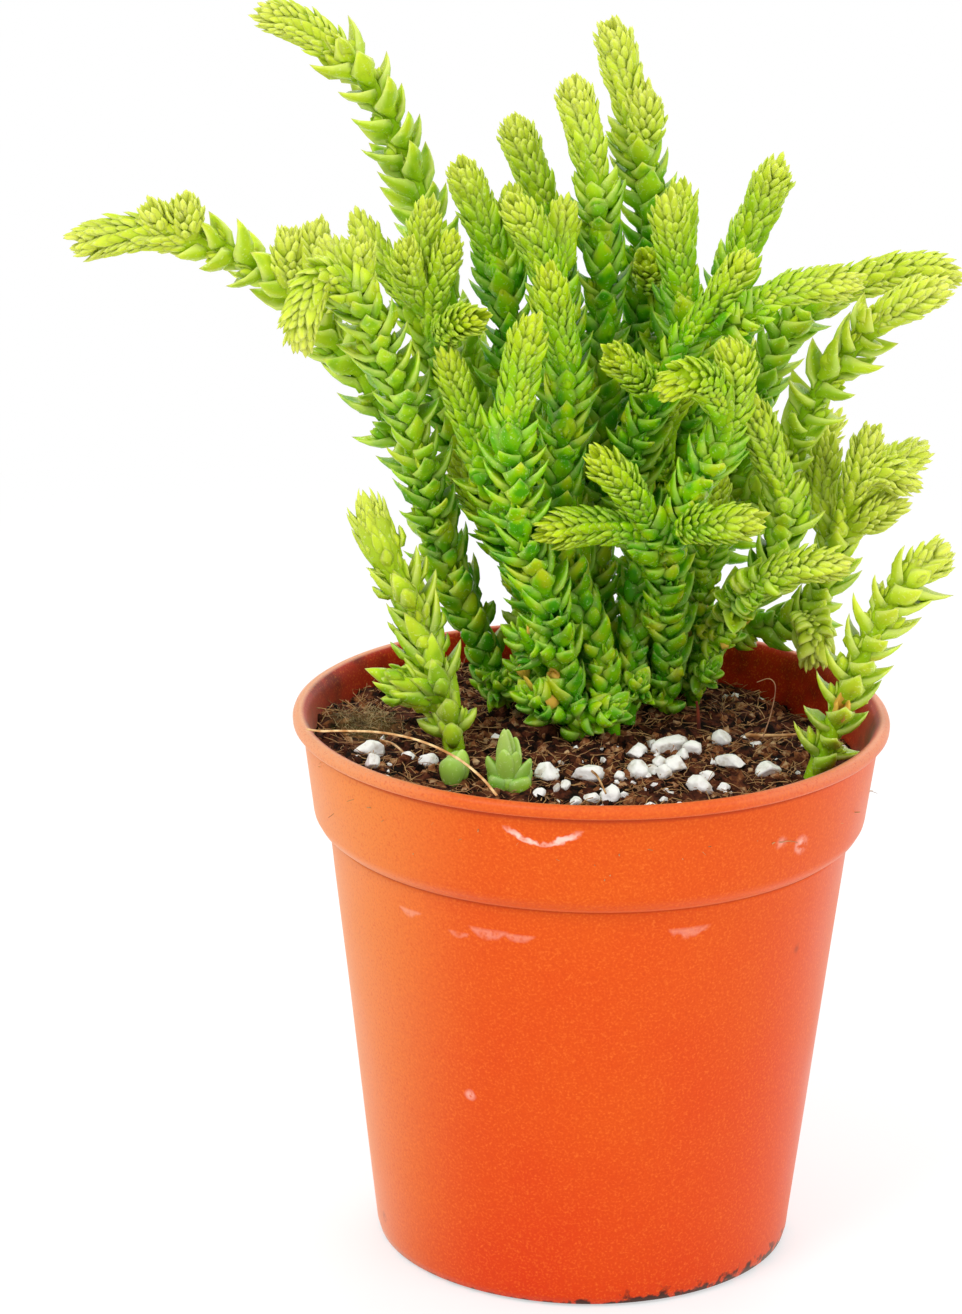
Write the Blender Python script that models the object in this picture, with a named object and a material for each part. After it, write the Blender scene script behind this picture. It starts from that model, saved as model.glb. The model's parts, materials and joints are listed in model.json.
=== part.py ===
"""A watch chain crassula (Crassula muscosa) in a 6 cm plastic nursery pot.

Every stem is one solid with its side shoots. The origin is the centre of the
pot's underside, +Z is up and +Y points to the back of the plant.
"""

import math

import bmesh
import bpy
from mathutils import Vector, noise

MM = 0.001

# pot, in millimetres
POT_HEIGHT = 56.0
LIP_RADIUS = 30.0
LIP_TALL = 1.3
COLLAR_TOP_RADIUS = 28.8
COLLAR_FOOT_RADIUS = 27.5
COLLAR_FOOT_Z = 44.8
BODY_TOP_RADIUS = 26.3
BODY_FOOT_RADIUS = 21.2
WALL = 0.7
FLOOR = 1.2
POT_SEGMENTS = 48
DRAIN_RADIUS = 1.8
DRAIN_CIRCLE = 15.0
DRAIN_COUNT = 6

# soil
SOIL_LEVEL = 51.3
CROWN_RISE = 1.4
CROWN_SPREAD = 12.0
CROWN_CENTRE = (3.0, 9.0)
SOIL_TILT = -0.06
CLEARANCE = 0.3

# stems
LEAF_STEP = 1.5
NOTCH = 0.62
FOOT_WIDTH = 0.66
TIP_LENGTH = 2.2
STRAW_RADIUS = 0.2

LEAF_GREEN = (0.36, 0.52, 0.03, 1.0)
OFFSET_GREEN = (0.12, 0.34, 0.03, 1.0)

# name: (half width, route from foot to tip, side shoots from the stem outwards)
STEMS = {
    "front_centre_stem": (2.4, [
        (-1, 1.5), (-3, 0, 61), (-4.5, -2, 68), (-7, -3.5, 75), (-8, -5, 83), (-8, -5.5, 89),
        (-6.5, -5.5, 97)], []),
    "centre_stem": (2.2, [
        (2.3, 2.5), (1, 3, 60), (-1.5, 4, 67), (-3.5, 2.5, 74), (-3.5, 1.5, 82), (-3, 1, 90),
        (-5, 0, 101)], []),
    "low_left_stem": (2.1, [
        (-3.4, 4.6), (-4.4, 4.2, 61.5), (-7.2, 4, 69.5), (-10.2, 3, 77), (-13, 2, 86), (-15, 2, 92)], [
            [(-4.8, 4.2, 63), (-6.8, 6, 68.5), (-10.2, 7, 73.5), (-14.2, 7, 79.8)]]),
    "drooping_left_stem": (2.3, [
        (-9, 10), (-11.5, 8.5, 60), (-14.5, 7, 67.5), (-16.5, 4, 76), (-18.5, 2, 85), (-21, 0, 92.5),
        (-23.5, -2, 98.5), (-26.5, -4.5, 101), (-28.5, -7, 98), (-28.5, -8, 95)], [
            [(-23, -1.5, 97.5), (-23.5, -1.5, 101), (-23.3, -2, 104)],
            [(-24, -2.3, 99.5), (-25.5, 0, 101.5), (-26.5, 1, 103)]]),
    "left_inner_stem": (2.1, [
        (-4.4, 9), (-5.2, 9.2, 61.5), (-7.6, 9.6, 68), (-11.6, 10.4, 75), (-14.5, 9.7, 82), (-16, 8, 89),
        (-16.5, 6, 96), (-14.5, 4.5, 103)], [
            [(-16.5, 6, 95), (-17.5, 7, 100.5), (-17, 7, 106)],
            [(-16.3, 6.7, 92), (-14, 1.5, 95), (-11.5, -1.5, 96.5)],
            [(-16.4, 6.5, 94), (-18.5, 5, 98.5), (-19, 3.5, 102.5)],
            [(-15.8, 8, 90), (-19.2, 8.5, 96.5), (-22.6, 9, 100.8), (-24.1, 9, 104)]]),
    "far_left_stem": (2.4, [
        (-9.5, 14), (-12.2, 13.5, 62), (-15.5, 13.5, 69.5), (-18.2, 13.5, 77), (-23.8, 13, 86.7),
        (-31, 12, 95.7), (-36, 11, 99.1), (-40, 10, 101.1), (-45, 9, 102.1), (-52, 8, 101.2)], [
            [(-41, 9.8, 101.4), (-41.2, 8, 105.4)],
            [(-43.3, 9.4, 101.8), (-44.6, 8, 104.6)],
            [(-31, 12, 95.7), (-30.9, 10.5, 99), (-30.9, 10, 101.9)],
            [(-27.6, 12.5, 91.5), (-28.2, 10.5, 96.5), (-28.3, 10, 102.7)]]),
    "top_left_stem": (2.5, [
        (-6, 14), (-6.5, 15, 62), (-8.5, 16.5, 70), (-11, 17.5, 80), (-14.5, 18, 91), (-17.5, 18, 102),
        (-20, 18, 108.5), (-22.5, 17, 114.5), (-25.5, 16, 118.5), (-30, 15, 122), (-34, 14, 123.5)], []),
    "back_left_stem": (2.3, [
        (-2.5, 12), (-3.3, 12.8, 64), (-5.6, 13, 74), (-8.5, 12.5, 85), (-9, 12, 94), (-12.5, 12, 105),
        (-14, 11, 109)], [
            [(-9, 12, 94.5), (-8.5, 14, 101), (-9, 14, 105.5)]]),
    "back_centre_stem": (2.3, [
        (-2.5, 16.5), (-3, 17.5, 64), (-3.5, 18, 75), (-3.5, 18, 86), (-4, 18, 95), (-5.5, 17.5, 103),
        (-7.5, 17, 108.5), (-9, 16, 112.5)], []),
    "thick_centre_stem": (2.3, [
        (-1.5, 8), (-1.5, 8.5, 64), (-3, 8.5, 75), (-3.5, 7, 86), (-4.5, 6, 96.5), (-6, 5, 102),
        (-8.5, 3, 107)], [
            [(-4.6, 6, 97), (-4, 8.5, 102), (-3.5, 9, 105.5)]]),
    "second_tall_stem": (2.3, [
        (1.2, 11.5), (0.3, 12, 64), (0.2, 12.5, 72), (0.3, 13, 80), (0.5, 13, 93), (0.3, 12.7, 101),
        (-0.9, 12, 109), (-2.2, 12, 114), (-3, 11, 117.5)], []),
    "tall_stem": (2.4, [
        (1, 20), (0.3, 21, 62), (0.3, 21.5, 68), (2, 21, 78), (4, 20, 90), (4.8, 19, 100.5), (4.5, 19, 106),
        (3.4, 18, 112), (1.7, 18, 118.5), (0.7, 17, 122)], [
            [(2.4, 20.8, 80), (6.2, 18.5, 86), (7.4, 17, 91), (8, 17.5, 105.6)],
            [(4.3, 19.6, 94), (5, 15.5, 97.5), (4.5, 13.5, 99)],
            [(4.1, 18.6, 108.5), (4.4, 17, 112), (4, 16.3, 115.6)]]),
    "right_centre_stem": (2.4, [
        (5.5, 15), (6, 15, 63), (7.5, 14.5, 72), (8.5, 12.5, 80), (9.5, 10.5, 87.5), (9, 9, 94),
        (7.5, 8, 101), (6.5, 7, 106.5)], [
            [(7.6, 14.3, 73), (10.5, 17, 79), (12.5, 18, 88), (13.9, 17, 97.5), (15.8, 17, 103),
             (17.7, 16, 108.3)],
            [(8, 13.6, 75.5), (6.5, 10, 79), (6.5, 8.5, 83.5), (8.5, 7, 87.5)]]),
    "right_front_stem": (2.1, [
        (3.8, 6.3), (4, 7, 60), (4.8, 9.3, 66), (5, 9.3, 71), (4, 7.5, 76.5), (4, 5.5, 82), (5.5, 4, 87),
        (8, 3, 92.5), (11.5, 2, 97.5), (14.5, 1, 102.5)], [
            [(9.5, 2.5, 94.5), (13.5, 0.5, 96), (17, -1, 99), (21.5, -2, 100.5), (25, -3, 101)],
            [(5.6, 4, 87.3), (4, 1, 90), (2, -1, 92.5), (1.5, -2.5, 93)]]),
    "front_right_stem": (2.3, [
        (7.5, 11), (7.8, 8, 60), (7.2, 4.5, 67.5), (8, 1, 74.5), (9.5, -1, 79), (11.5, -2, 83),
        (13, -3, 87), (13.5, -4.5, 92), (12.5, -5, 95)], [
            [(12.8, -2.8, 86), (11, -6, 91), (9, -8.5, 92.5), (6.5, -9.5, 91.5)],
            [(7.6, 2.5, 71.5), (4.5, -2, 77.5), (2.5, -4.5, 81), (0, -6, 84)],
            [(8, 1, 74.5), (10.5, -4, 76.5), (16, -7, 78)],
            [(7.3, 4, 68.5), (4.5, 0, 74), (1.5, -2, 75.5), (-2, -4, 76), (-5, -5.5, 76)]]),
    "low_right_stem": (1.9, [
        (10.5, 15), (10.8, 13, 60), (11, 11, 66), (11.5, 9, 72), (12.5, 7.5, 78.5)], []),
    "arching_right_stem": (2.2, [
        (10, 19), (13, 18, 58.5), (18, 16, 60), (22, 13, 62.5), (24.3, 11.5, 68), (25.5, 10, 75),
        (28, 8.5, 78.5), (32, 7, 78)], [
            [(25.6, 9.9, 75.3), (29.5, 13, 78), (33.3, 15.5, 79.3)],
            [(25.4, 10.2, 73.5), (26.5, 8.5, 78.5), (27.7, 8, 83.2)],
            [(24.4, 11.4, 69), (23.2, 12, 75), (23.4, 12, 81)],
            [(25, 10.6, 71.5), (28.3, 9, 74.3), (30.8, 8.5, 75.8)],
            [(21.5, 13.5, 62), (22.5, 9.5, 61.5), (22.5, 7.5, 59)],
            [(13, 18, 58.5), (14, 12, 62), (14.5, 5, 66), (16, -1, 69.5), (20, -4.5, 72.5),
             (24.5, -6, 73.5)],
            [(14.4, 5.5, 65.7), (17.5, 4.5, 69.5), (19, 3, 76), (17.3, 1.5, 82), (15, 0.5, 88)]]),
    "far_right_stem": (2.3, [
        (6, 19.5), (8, 19.7, 62), (12, 18.7, 70), (14.6, 17.5, 77), (16.2, 16.5, 84), (18, 16, 90),
        (21.2, 15, 94), (26, 14, 97), (31, 12.5, 98.6), (35.5, 11, 98.5)], [
            [(12, 18.7, 70), (15.8, 15, 73.5), (18.8, 12, 78), (20.5, 9, 83), (22.2, 7, 87.5),
             (24.5, 6.5, 91), (27.4, 5.5, 94.8), (30.4, 4.5, 97.2), (33.8, 4, 99)]]),
    "right_edge_stem": (2.8, [
        (22.3, -3.8), (24.2, -4.5, 56.5), (26.2, -5.3, 62.5), (28.6, -6, 68.5), (31, -6, 72),
        (34.3, -6, 75)], []),
    "left_front_stem": (3, [
        (-13.5, -4), (-14.5, -4, 57.5), (-16, -4, 62), (-17.5, -4, 67), (-20, -5, 72), (-21.5, -5, 75.5),
        (-22.5, -5, 79)], [
            [(-14.8, -4, 58.5), (-17.5, -5.5, 59.5), (-20, -7, 61)]]),
    "rear_left_stem": (2.3, [
        (-6, 19.5), (-7, 23, 64), (-10, 27, 75), (-13, 30, 86)], []),
    "rear_centre_left_stem": (2.3, [
        (-2, 22.5), (-3, 26, 66), (-4.5, 30, 80), (-5, 33, 90)], [
            [(-3.9, 28.3, 74), (-0.5, 30.5, 78), (1, 33, 83)]]),
    "rear_centre_stem": (2.3, [
        (4, 23), (4.5, 26.5, 66), (5.5, 30, 78), (6, 34, 88)], []),
    "rear_right_stem": (2.3, [
        (8.5, 22.8), (11, 25.7, 63), (14, 29, 76), (16, 32, 86)], [
            [(11.1, 25.8, 63.5), (16, 27.5, 68), (21, 28.5, 73), (25, 29, 79)]]),
}

# name: (foot on the soil, height, half width)
OFFSETS = {
    "fat_leaved_offset": ((-8.0, -12.5), 7.0, 2.5),
    "little_bud": ((-13.3, -11.5), 3.2, 1.6),
}

# name: (place on the soil, long, wide, tall, turn in degrees)
GRAINS = {
    "perlite_grain_1": ((7.8, -0.3), 4.0, 1.8, 1.8, 35),
    "perlite_grain_2": ((4.6, -2.8), 2.2, 1.9, 1.6, 40),
    "perlite_grain_3": ((10.3, -1.0), 2.0, 1.6, 1.4, 10),
    "perlite_grain_4": ((8.6, -5.3), 2.2, 1.8, 1.5, 20),
    "perlite_grain_5": ((4.7, -7.0), 2.4, 2.0, 1.7, 150),
    "perlite_grain_6": ((7.4, -8.0), 2.0, 1.7, 1.5, 100),
    "perlite_grain_7": ((10.8, -9.8), 3.0, 2.0, 1.8, 165),
    "perlite_grain_8": ((14.2, -2.8), 3.2, 1.7, 1.5, 150),
    "perlite_grain_9": ((13.3, 3.6), 2.2, 1.7, 1.7, 120),
    "perlite_grain_10": ((17.8, -4.0), 2.6, 1.8, 1.6, 30),
    "perlite_grain_11": ((-4.2, -10.6), 2.2, 2.0, 1.9, 20),
    "perlite_grain_12": ((-0.3, -8.6), 3.0, 2.0, 1.7, 10),
    "perlite_grain_13": ((1.8, -13.2), 2.4, 2.0, 1.8, 60),
    "perlite_grain_14": ((-22.0, -5.0), 2.8, 1.9, 1.7, 15),
}

# name: route of its centre line
STRAWS = {
    "long_straw": [
        (-28, -9.6, 56.5), (-26.5, -11.3, 56.9), (-24.5, -13.2, 57.6), (-20.4, -17, 58.8),
        (-16.4, -20.8, 59.3), (-12.9, -24.2, 58.9), (-10.4, -26.6, 57.8), (-8.8, -28.2, 56.5)],
    "short_straw": [(15.8, 5.3, 51.75), (19, 4, 52.2), (22, 2.8, 52.9)],
    "reddish_twig": [(11, 5.2, 52.6), (10.9, 5, 54), (10.7, 4.8, 55.4)],
}


def soil_height(x, y):
    """Height of the soil's surface, in millimetres."""
    away = (x - CROWN_CENTRE[0]) ** 2 + (y - CROWN_CENTRE[1]) ** 2
    return SOIL_LEVEL + SOIL_TILT * x + CROWN_RISE * math.exp(-away / (2 * CROWN_SPREAD ** 2))


def material(name, colour, roughness):
    mat = bpy.data.materials.get(name)
    if mat:
        return mat
    mat = bpy.data.materials.new(name)
    mat.use_nodes = True
    shader = mat.node_tree.nodes["Principled BSDF"]
    shader.inputs["Base Color"].default_value = colour
    shader.inputs["Roughness"].default_value = roughness
    shader.inputs["Metallic"].default_value = 0.0
    mat.diffuse_color = colour
    return mat


def solid(name, points, faces, mat, smooth=True, flat=True):
    """A closed mesh object from points in millimetres; faces that aren't flat are split in triangles."""
    mesh = bpy.data.meshes.new(name)
    mesh.from_pydata([Vector(p) * MM for p in points], [], faces)
    bm = bmesh.new()
    bm.from_mesh(mesh)
    if not flat:
        bmesh.ops.triangulate(bm, faces=bm.faces)
    bmesh.ops.recalc_face_normals(bm, faces=bm.faces)
    bm.to_mesh(mesh)
    bm.free()
    mesh.polygons.foreach_set("use_smooth", [smooth] * len(mesh.polygons))
    mesh.materials.append(mat)
    obj = bpy.data.objects.new(name, mesh)
    bpy.context.collection.objects.link(obj)
    return obj


def boolean(obj, other, operation):
    """Join another object to this one, or cut it away, and drop it."""
    mod = obj.modifiers.new(operation, "BOOLEAN")
    mod.operation = operation
    mod.solver = "EXACT"
    mod.object = other
    graph = bpy.context.evaluated_depsgraph_get()
    mesh = bpy.data.meshes.new_from_object(obj.evaluated_get(graph))
    obj.modifiers.remove(mod)
    old = obj.data
    obj.data = mesh
    mesh.name = obj.name
    bpy.data.meshes.remove(old)
    bpy.data.objects.remove(other)


def turned(name, profile, segments, mat):
    """A solid of revolution whose profile starts and ends on the axis."""
    points = [(0, 0, profile[0][1])]
    for radius, z in profile[1:-1]:
        for k in range(segments):
            turn = 2 * math.pi * k / segments
            points.append((radius * math.cos(turn), radius * math.sin(turn), z))
    points.append((0, 0, profile[-1][1]))
    return solid(name, points, lathe_faces(len(profile) - 2, segments), mat)


def lathe_faces(rings, segments):
    """Faces of stacked rings closed by a point at each end."""
    last = 1 + rings * segments
    faces = []
    for k in range(segments):
        following = (k + 1) % segments
        faces.append((0, 1 + following, 1 + k))
        for ring in range(rings - 1):
            low = 1 + ring * segments
            high = low + segments
            faces.append((low + k, low + following, high + following, high + k))
        top = last - segments
        faces.append((top + k, top + following, last))
    return faces


def build_pot():
    plastic = material("orange_plastic", (0.87, 0.12, 0.015, 1.0), 0.4)
    lip_z = POT_HEIGHT - LIP_TALL
    outside = [
        (0, 0), (BODY_FOOT_RADIUS - 1.1, 0), (BODY_FOOT_RADIUS - 0.3, 0.4), (BODY_FOOT_RADIUS + 0.05, 1.5),
        (BODY_TOP_RADIUS, COLLAR_FOOT_Z - 0.6), (BODY_TOP_RADIUS + 0.5, COLLAR_FOOT_Z - 0.3),
        (COLLAR_FOOT_RADIUS, COLLAR_FOOT_Z + 0.4), (COLLAR_TOP_RADIUS, lip_z),
        (LIP_RADIUS - 0.25, lip_z + 0.1), (LIP_RADIUS, lip_z + 0.65), (LIP_RADIUS - 0.3, POT_HEIGHT - 0.15),
        (LIP_RADIUS - 0.65, POT_HEIGHT)]
    inside = [
        (LIP_RADIUS - 1.3, POT_HEIGHT - 0.3), (COLLAR_TOP_RADIUS - WALL, lip_z - 0.4),
        (COLLAR_FOOT_RADIUS - WALL, COLLAR_FOOT_Z + 0.9), (BODY_TOP_RADIUS - WALL, COLLAR_FOOT_Z + 0.1),
        (BODY_FOOT_RADIUS - WALL, FLOOR + 0.6), (BODY_FOOT_RADIUS - WALL - 0.8, FLOOR), (0, FLOOR)]
    pot = turned("pot", outside + inside, POT_SEGMENTS, plastic)
    for k in range(DRAIN_COUNT):
        turn = 2 * math.pi * (k + 0.5) / DRAIN_COUNT
        x, y = DRAIN_CIRCLE * math.cos(turn), DRAIN_CIRCLE * math.sin(turn)
        ring = [(x + DRAIN_RADIUS * math.cos(a * math.pi / 4), y + DRAIN_RADIUS * math.sin(a * math.pi / 4))
                for a in range(8)]
        points = [(px, py, z) for z in (-1.0, FLOOR + 1.0) for px, py in ring]
        faces = [tuple(range(8)), tuple(range(8, 16))]
        faces += [(a, (a + 1) % 8, 8 + (a + 1) % 8, 8 + a) for a in range(8)]
        boolean(pot, solid("drain", points, faces, plastic, smooth=False), "DIFFERENCE")


def build_soil():
    peat = material("peat_soil", (0.05, 0.02, 0.01, 1.0), 0.95)
    gap = WALL + CLEARANCE
    edge_radius = COLLAR_TOP_RADIUS - gap - 0.75
    segments = 32
    profile = [
        (BODY_FOOT_RADIUS - gap - 1.0, FLOOR + CLEARANCE), (BODY_FOOT_RADIUS - gap, FLOOR + 1.4),
        (BODY_TOP_RADIUS - gap - 0.1, COLLAR_FOOT_Z + 0.4),
        (COLLAR_FOOT_RADIUS - gap - 0.3, COLLAR_FOOT_Z + 1.3)]
    top = [edge_radius * share for share in (1.0, 0.86, 0.7, 0.52, 0.34, 0.17)]
    points = [(0, 0, FLOOR + CLEARANCE)]
    for k, radius in enumerate([p[0] for p in profile] + top):
        for s in range(segments):
            turn = 2 * math.pi * s / segments
            x, y = radius * math.cos(turn), radius * math.sin(turn)
            points.append((x, y, profile[k][1] if k < len(profile) else soil_height(x, y)))
    points.append((0, 0, soil_height(0, 0)))
    return solid("soil", points, lathe_faces(len(profile) + len(top), segments), peat)


def along(route, step):
    """Evenly spaced points on a smooth line through the route."""
    ends = [2 * route[0] - route[1]] + route + [2 * route[-1] - route[-2]]
    dense = []
    for a, b, c, d in zip(ends, ends[1:], ends[2:], ends[3:]):
        for k in range(16):
            t = k / 16
            dense.append(0.5 * (2 * b + (c - a) * t + (2 * a - 5 * b + 4 * c - d) * t * t
                                + (3 * b - a - 3 * c + d) * t ** 3))
    dense.append(route[-1])
    total = sum((q - p).length for p, q in zip(dense, dense[1:]))
    count = max(3, round(total / step))
    points, walked, target = [dense[0]], 0.0, total / count
    for p, q in zip(dense, dense[1:]):
        length = (q - p).length
        while walked + length >= target - 1e-6 and len(points) < count:
            points.append(p.lerp(q, (target - walked) / length))
            target += total / count
        walked += length
    return points + [dense[-1]]


def half_width(walked, total, width, rooted):
    """Half width over the leaf tips at a distance from the stem's foot."""
    grow = min(1.0, walked / 14.0) if rooted else 1.0
    close = min(1.0, (total - walked) / TIP_LENGTH)
    tip = math.sqrt(max(0.0, 1 - (1 - close) ** 2))
    return width * (FOOT_WIDTH + (1 - FOOT_WIDTH) * grow) * tip


def stem_rings(route, width, rooted):
    """Centre, side, depth and half width of each ring, from the foot to just under the tip."""
    points = along([Vector(p) for p in route], LEAF_STEP)
    total = LEAF_STEP * (len(points) - 1)
    rings = []
    side = Vector((1, 0, 0))
    for k, point in enumerate(points[:-1]):
        heading = (points[k + 1] - points[max(k - 1, 0)]).normalized()
        if rooted and k == 0:
            heading = Vector((0, 0, 1))
        side = (side - side.dot(heading) * heading).normalized()
        rings.append((point, side, heading.cross(side), half_width(k * LEAF_STEP, total, width, rooted)))
    return rings, points[-1]


def sweep_stem(name, route, width, mat, rooted):
    """A four-ranked stem: neighbouring ranks stand out on alternate rings."""
    rings, tip = stem_rings(route, width, rooted)
    points = [rings[0][0]]
    for k, (centre, side, depth, half) in enumerate(rings):
        for rank in range(4):
            turn = math.pi * (0.25 + 0.5 * rank)
            reach = half if (rank + k) % 2 == 0 else half * NOTCH
            points.append(centre + reach * (side * math.cos(turn) + depth * math.sin(turn)))
    points.append(tip)
    return solid(name, points, lathe_faces(len(rings), 4), mat, flat=False)


def rooted_route(route):
    """The route with its foot set down on the soil."""
    x, y = route[0]
    return [(x, y, soil_height(x, y) + CLEARANCE)] + route[1:]


def build_stems():
    leaf = material("leaf_green", LEAF_GREEN, 0.35)
    for name, (width, route, shoots) in STEMS.items():
        stem = sweep_stem(name, rooted_route(route), width, leaf, True)
        for shoot in shoots:
            boolean(stem, sweep_stem("shoot", shoot, width * 0.97, leaf, False), "UNION")


def build_offsets():
    """Little rosettes of plump leaves."""
    leaf = material("offset_leaf", OFFSET_GREEN, 0.35)
    for name, ((x, y), height, half) in OFFSETS.items():
        foot = soil_height(x, y) + CLEARANCE
        levels = [(0.0, 0.6), (0.22, 1.0), (0.5, 0.8), (0.72, 0.85), (0.9, 0.5)]
        points = [(x, y, foot)]
        for k, (up, wide) in enumerate(levels):
            for s in range(8):
                turn = 2 * math.pi * s / 8
                reach = half * wide * (1.0 if (s + 2 * k) % 4 < 2 else 0.78)
                points.append((x + reach * math.cos(turn), y + reach * math.sin(turn), foot + up * height))
        points.append((x, y, foot + height))
        solid(name, points, lathe_faces(len(levels), 8), leaf)


def build_grains():
    perlite = material("perlite", (0.86, 0.86, 0.84, 1.0), 0.9)
    for name, ((x, y), long, wide, tall, turn) in GRAINS.items():
        bm = bmesh.new()
        bmesh.ops.create_icosphere(bm, subdivisions=1, radius=0.5)
        faces = [[v.index for v in f.verts] for f in bm.faces]
        lumps = [v.co * (1.0 + 0.3 * noise.noise(v.co * 3 + Vector((x, y, 0)))) for v in bm.verts]
        bm.free()
        cos, sin = math.cos(math.radians(turn)), math.sin(math.radians(turn))
        points = []
        for p in lumps:
            px, py = p.x * long, p.y * wide
            points.append(Vector((x + px * cos - py * sin, y + px * sin + py * cos, p.z * tall)))
        lift = max(soil_height(p.x, p.y) - p.z for p in points) + 0.2
        solid(name, [p + Vector((0, 0, lift)) for p in points], faces, perlite, smooth=False)


def build_straws():
    """Thin dry stalks with a square section."""
    straw = material("dry_straw", (0.55, 0.36, 0.12, 1.0), 0.7)
    bark = material("reddish_twig", (0.25, 0.07, 0.03, 1.0), 0.7)
    for name, route in STRAWS.items():
        centres = along([Vector(p) for p in route], 2.0)
        points = [centres[0]]
        side = Vector((0.3, 1, 0))
        for k in range(1, len(centres) - 1):
            heading = (centres[k + 1] - centres[k - 1]).normalized()
            side = (side - side.dot(heading) * heading).normalized()
            depth = heading.cross(side)
            points += [centres[k] + STRAW_RADIUS * way for way in (side, depth, -side, -depth)]
        points.append(centres[-1])
        solid(name, points, lathe_faces(len(centres) - 2, 4), bark if name == "reddish_twig" else straw)


def build():
    for obj in list(bpy.data.objects):
        bpy.data.objects.remove(obj)
    build_pot()
    build_soil()
    build_stems()
    build_offsets()
    build_grains()
    build_straws()


build()
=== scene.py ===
import json
import math
import random

import bmesh
import bpy
from mathutils import Matrix, Vector, noise

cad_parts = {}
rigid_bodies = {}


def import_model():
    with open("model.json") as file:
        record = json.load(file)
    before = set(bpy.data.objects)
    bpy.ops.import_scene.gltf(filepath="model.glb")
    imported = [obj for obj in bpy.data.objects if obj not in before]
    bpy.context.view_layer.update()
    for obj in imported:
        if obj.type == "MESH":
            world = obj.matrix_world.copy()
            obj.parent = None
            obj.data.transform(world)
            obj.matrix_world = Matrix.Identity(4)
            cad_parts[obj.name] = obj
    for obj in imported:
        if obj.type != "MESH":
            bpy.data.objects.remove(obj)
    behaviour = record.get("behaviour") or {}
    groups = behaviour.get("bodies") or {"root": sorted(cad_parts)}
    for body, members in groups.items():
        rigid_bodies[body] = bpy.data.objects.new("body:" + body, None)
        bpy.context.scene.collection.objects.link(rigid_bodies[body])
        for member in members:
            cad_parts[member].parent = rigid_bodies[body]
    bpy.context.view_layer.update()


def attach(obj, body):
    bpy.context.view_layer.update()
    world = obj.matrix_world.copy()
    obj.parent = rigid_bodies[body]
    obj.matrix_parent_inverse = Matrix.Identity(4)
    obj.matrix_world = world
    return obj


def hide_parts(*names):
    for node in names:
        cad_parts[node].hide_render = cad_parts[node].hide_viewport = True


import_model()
mm = 0.001
print("frame loaded")


def colour(hexText):
    # sRGB hex to the linear values that sockets take
    parts = [int(hexText[k:k + 2], 16) / 255 for k in (1, 3, 5)]
    return tuple(c / 12.92 if c <= 0.04045 else ((c + 0.055) / 1.055) ** 2.4 for c in parts) + (1.0,)


def wire(tree, node, links):
    # links by input, or a list for the first inputs; each is a socket, a node that gives its first output,
    # a plain value, or a list of nodes for one input
    for key, value in (links if isinstance(links, dict) else dict(enumerate(links))).items():
        for source in value if isinstance(value, list) else [value]:
            if isinstance(source, bpy.types.Node):
                source = next(output for output in source.outputs if output.enabled)
            if isinstance(source, bpy.types.NodeSocket):
                tree.links.new(source, node.inputs[key])
            else:
                node.inputs[key].default_value = source


def addNode(tree, kind, links=None, stops=None, **settings):
    # one node with its settings, colour stops and links
    node = tree.nodes.new(kind)
    for key, value in settings.items():
        setattr(node, key, value)
    if stops:
        while len(node.color_ramp.elements) < len(stops):
            node.color_ramp.elements.new(0.5)
        for element, (place, shade) in zip(node.color_ramp.elements, stops):
            element.position, element.color = place, colour(shade)
    wire(tree, node, links or {})
    return node


def newMaterial(name, **values):
    # a Principled material; what is the same all over is set on the shader's own sockets
    made = bpy.data.materials.new(name)
    made.use_nodes = True
    shader = made.node_tree.nodes["Principled BSDF"]
    for key, value in values.items():
        shader.inputs[key.replace("_", " ")].default_value = value
    return made, made.node_tree, shader


def meshObject(name, points, faces, smooth=True, marks=None):
    # points in millimetres; marks are float attributes on the points
    mesh = bpy.data.meshes.new(name)
    mesh.from_pydata([Vector(p) * mm for p in points], [], faces)
    mesh.polygons.foreach_set("use_smooth", [smooth] * len(mesh.polygons))
    for key, values in (marks or {}).items():
        addMark(mesh, key, values)
    mesh.update()
    return placed(name, mesh)


def openTree(name, sizes):
    # a node tree with named inputs; gives the tree, its input node and each input's identifier
    tree = bpy.data.node_groups.new(name, "GeometryNodeTree")
    tree.interface.new_socket("Geometry", in_out="INPUT", socket_type="NodeSocketGeometry")
    tree.interface.new_socket("Geometry", in_out="OUTPUT", socket_type="NodeSocketGeometry")
    names = {}
    for key, value in sizes.items():
        kind = "NodeSocketInt" if isinstance(value, int) else "NodeSocketFloat"
        names[key] = tree.interface.new_socket(key, in_out="INPUT", socket_type=kind).identifier
    return tree, addNode(tree, "NodeGroupInput"), names


def closeTree(tree, geometry, material):
    # every tree ends in plain geometry with its material
    real = addNode(tree, "GeometryNodeRealizeInstances", {"Geometry": geometry})
    dressed = addNode(tree, "GeometryNodeSetMaterial", {"Geometry": real, "Material": material})
    addNode(tree, "NodeGroupOutput", {"Geometry": dressed})


def grow(name, seed, tree, names, sizes):
    # runs the tree on the seed object and keeps the result as a plain mesh
    mod = seed.modifiers.new(tree.name, "NODES")
    mod.node_group = tree
    for key, value in sizes.items():
        mod[names[key]] = value
    graph = bpy.context.evaluated_depsgraph_get()
    mesh = bpy.data.meshes.new_from_object(seed.evaluated_get(graph))
    seed.modifiers.remove(mod)
    seed.data = mesh
    seed.name = mesh.name = name
    return seed


def declare(piece, slotName, *nodes):
    # every piece rides on the one body, and stands for the solids it covers
    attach(piece, "root")
    if nodes:
        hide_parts(*nodes)


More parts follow.
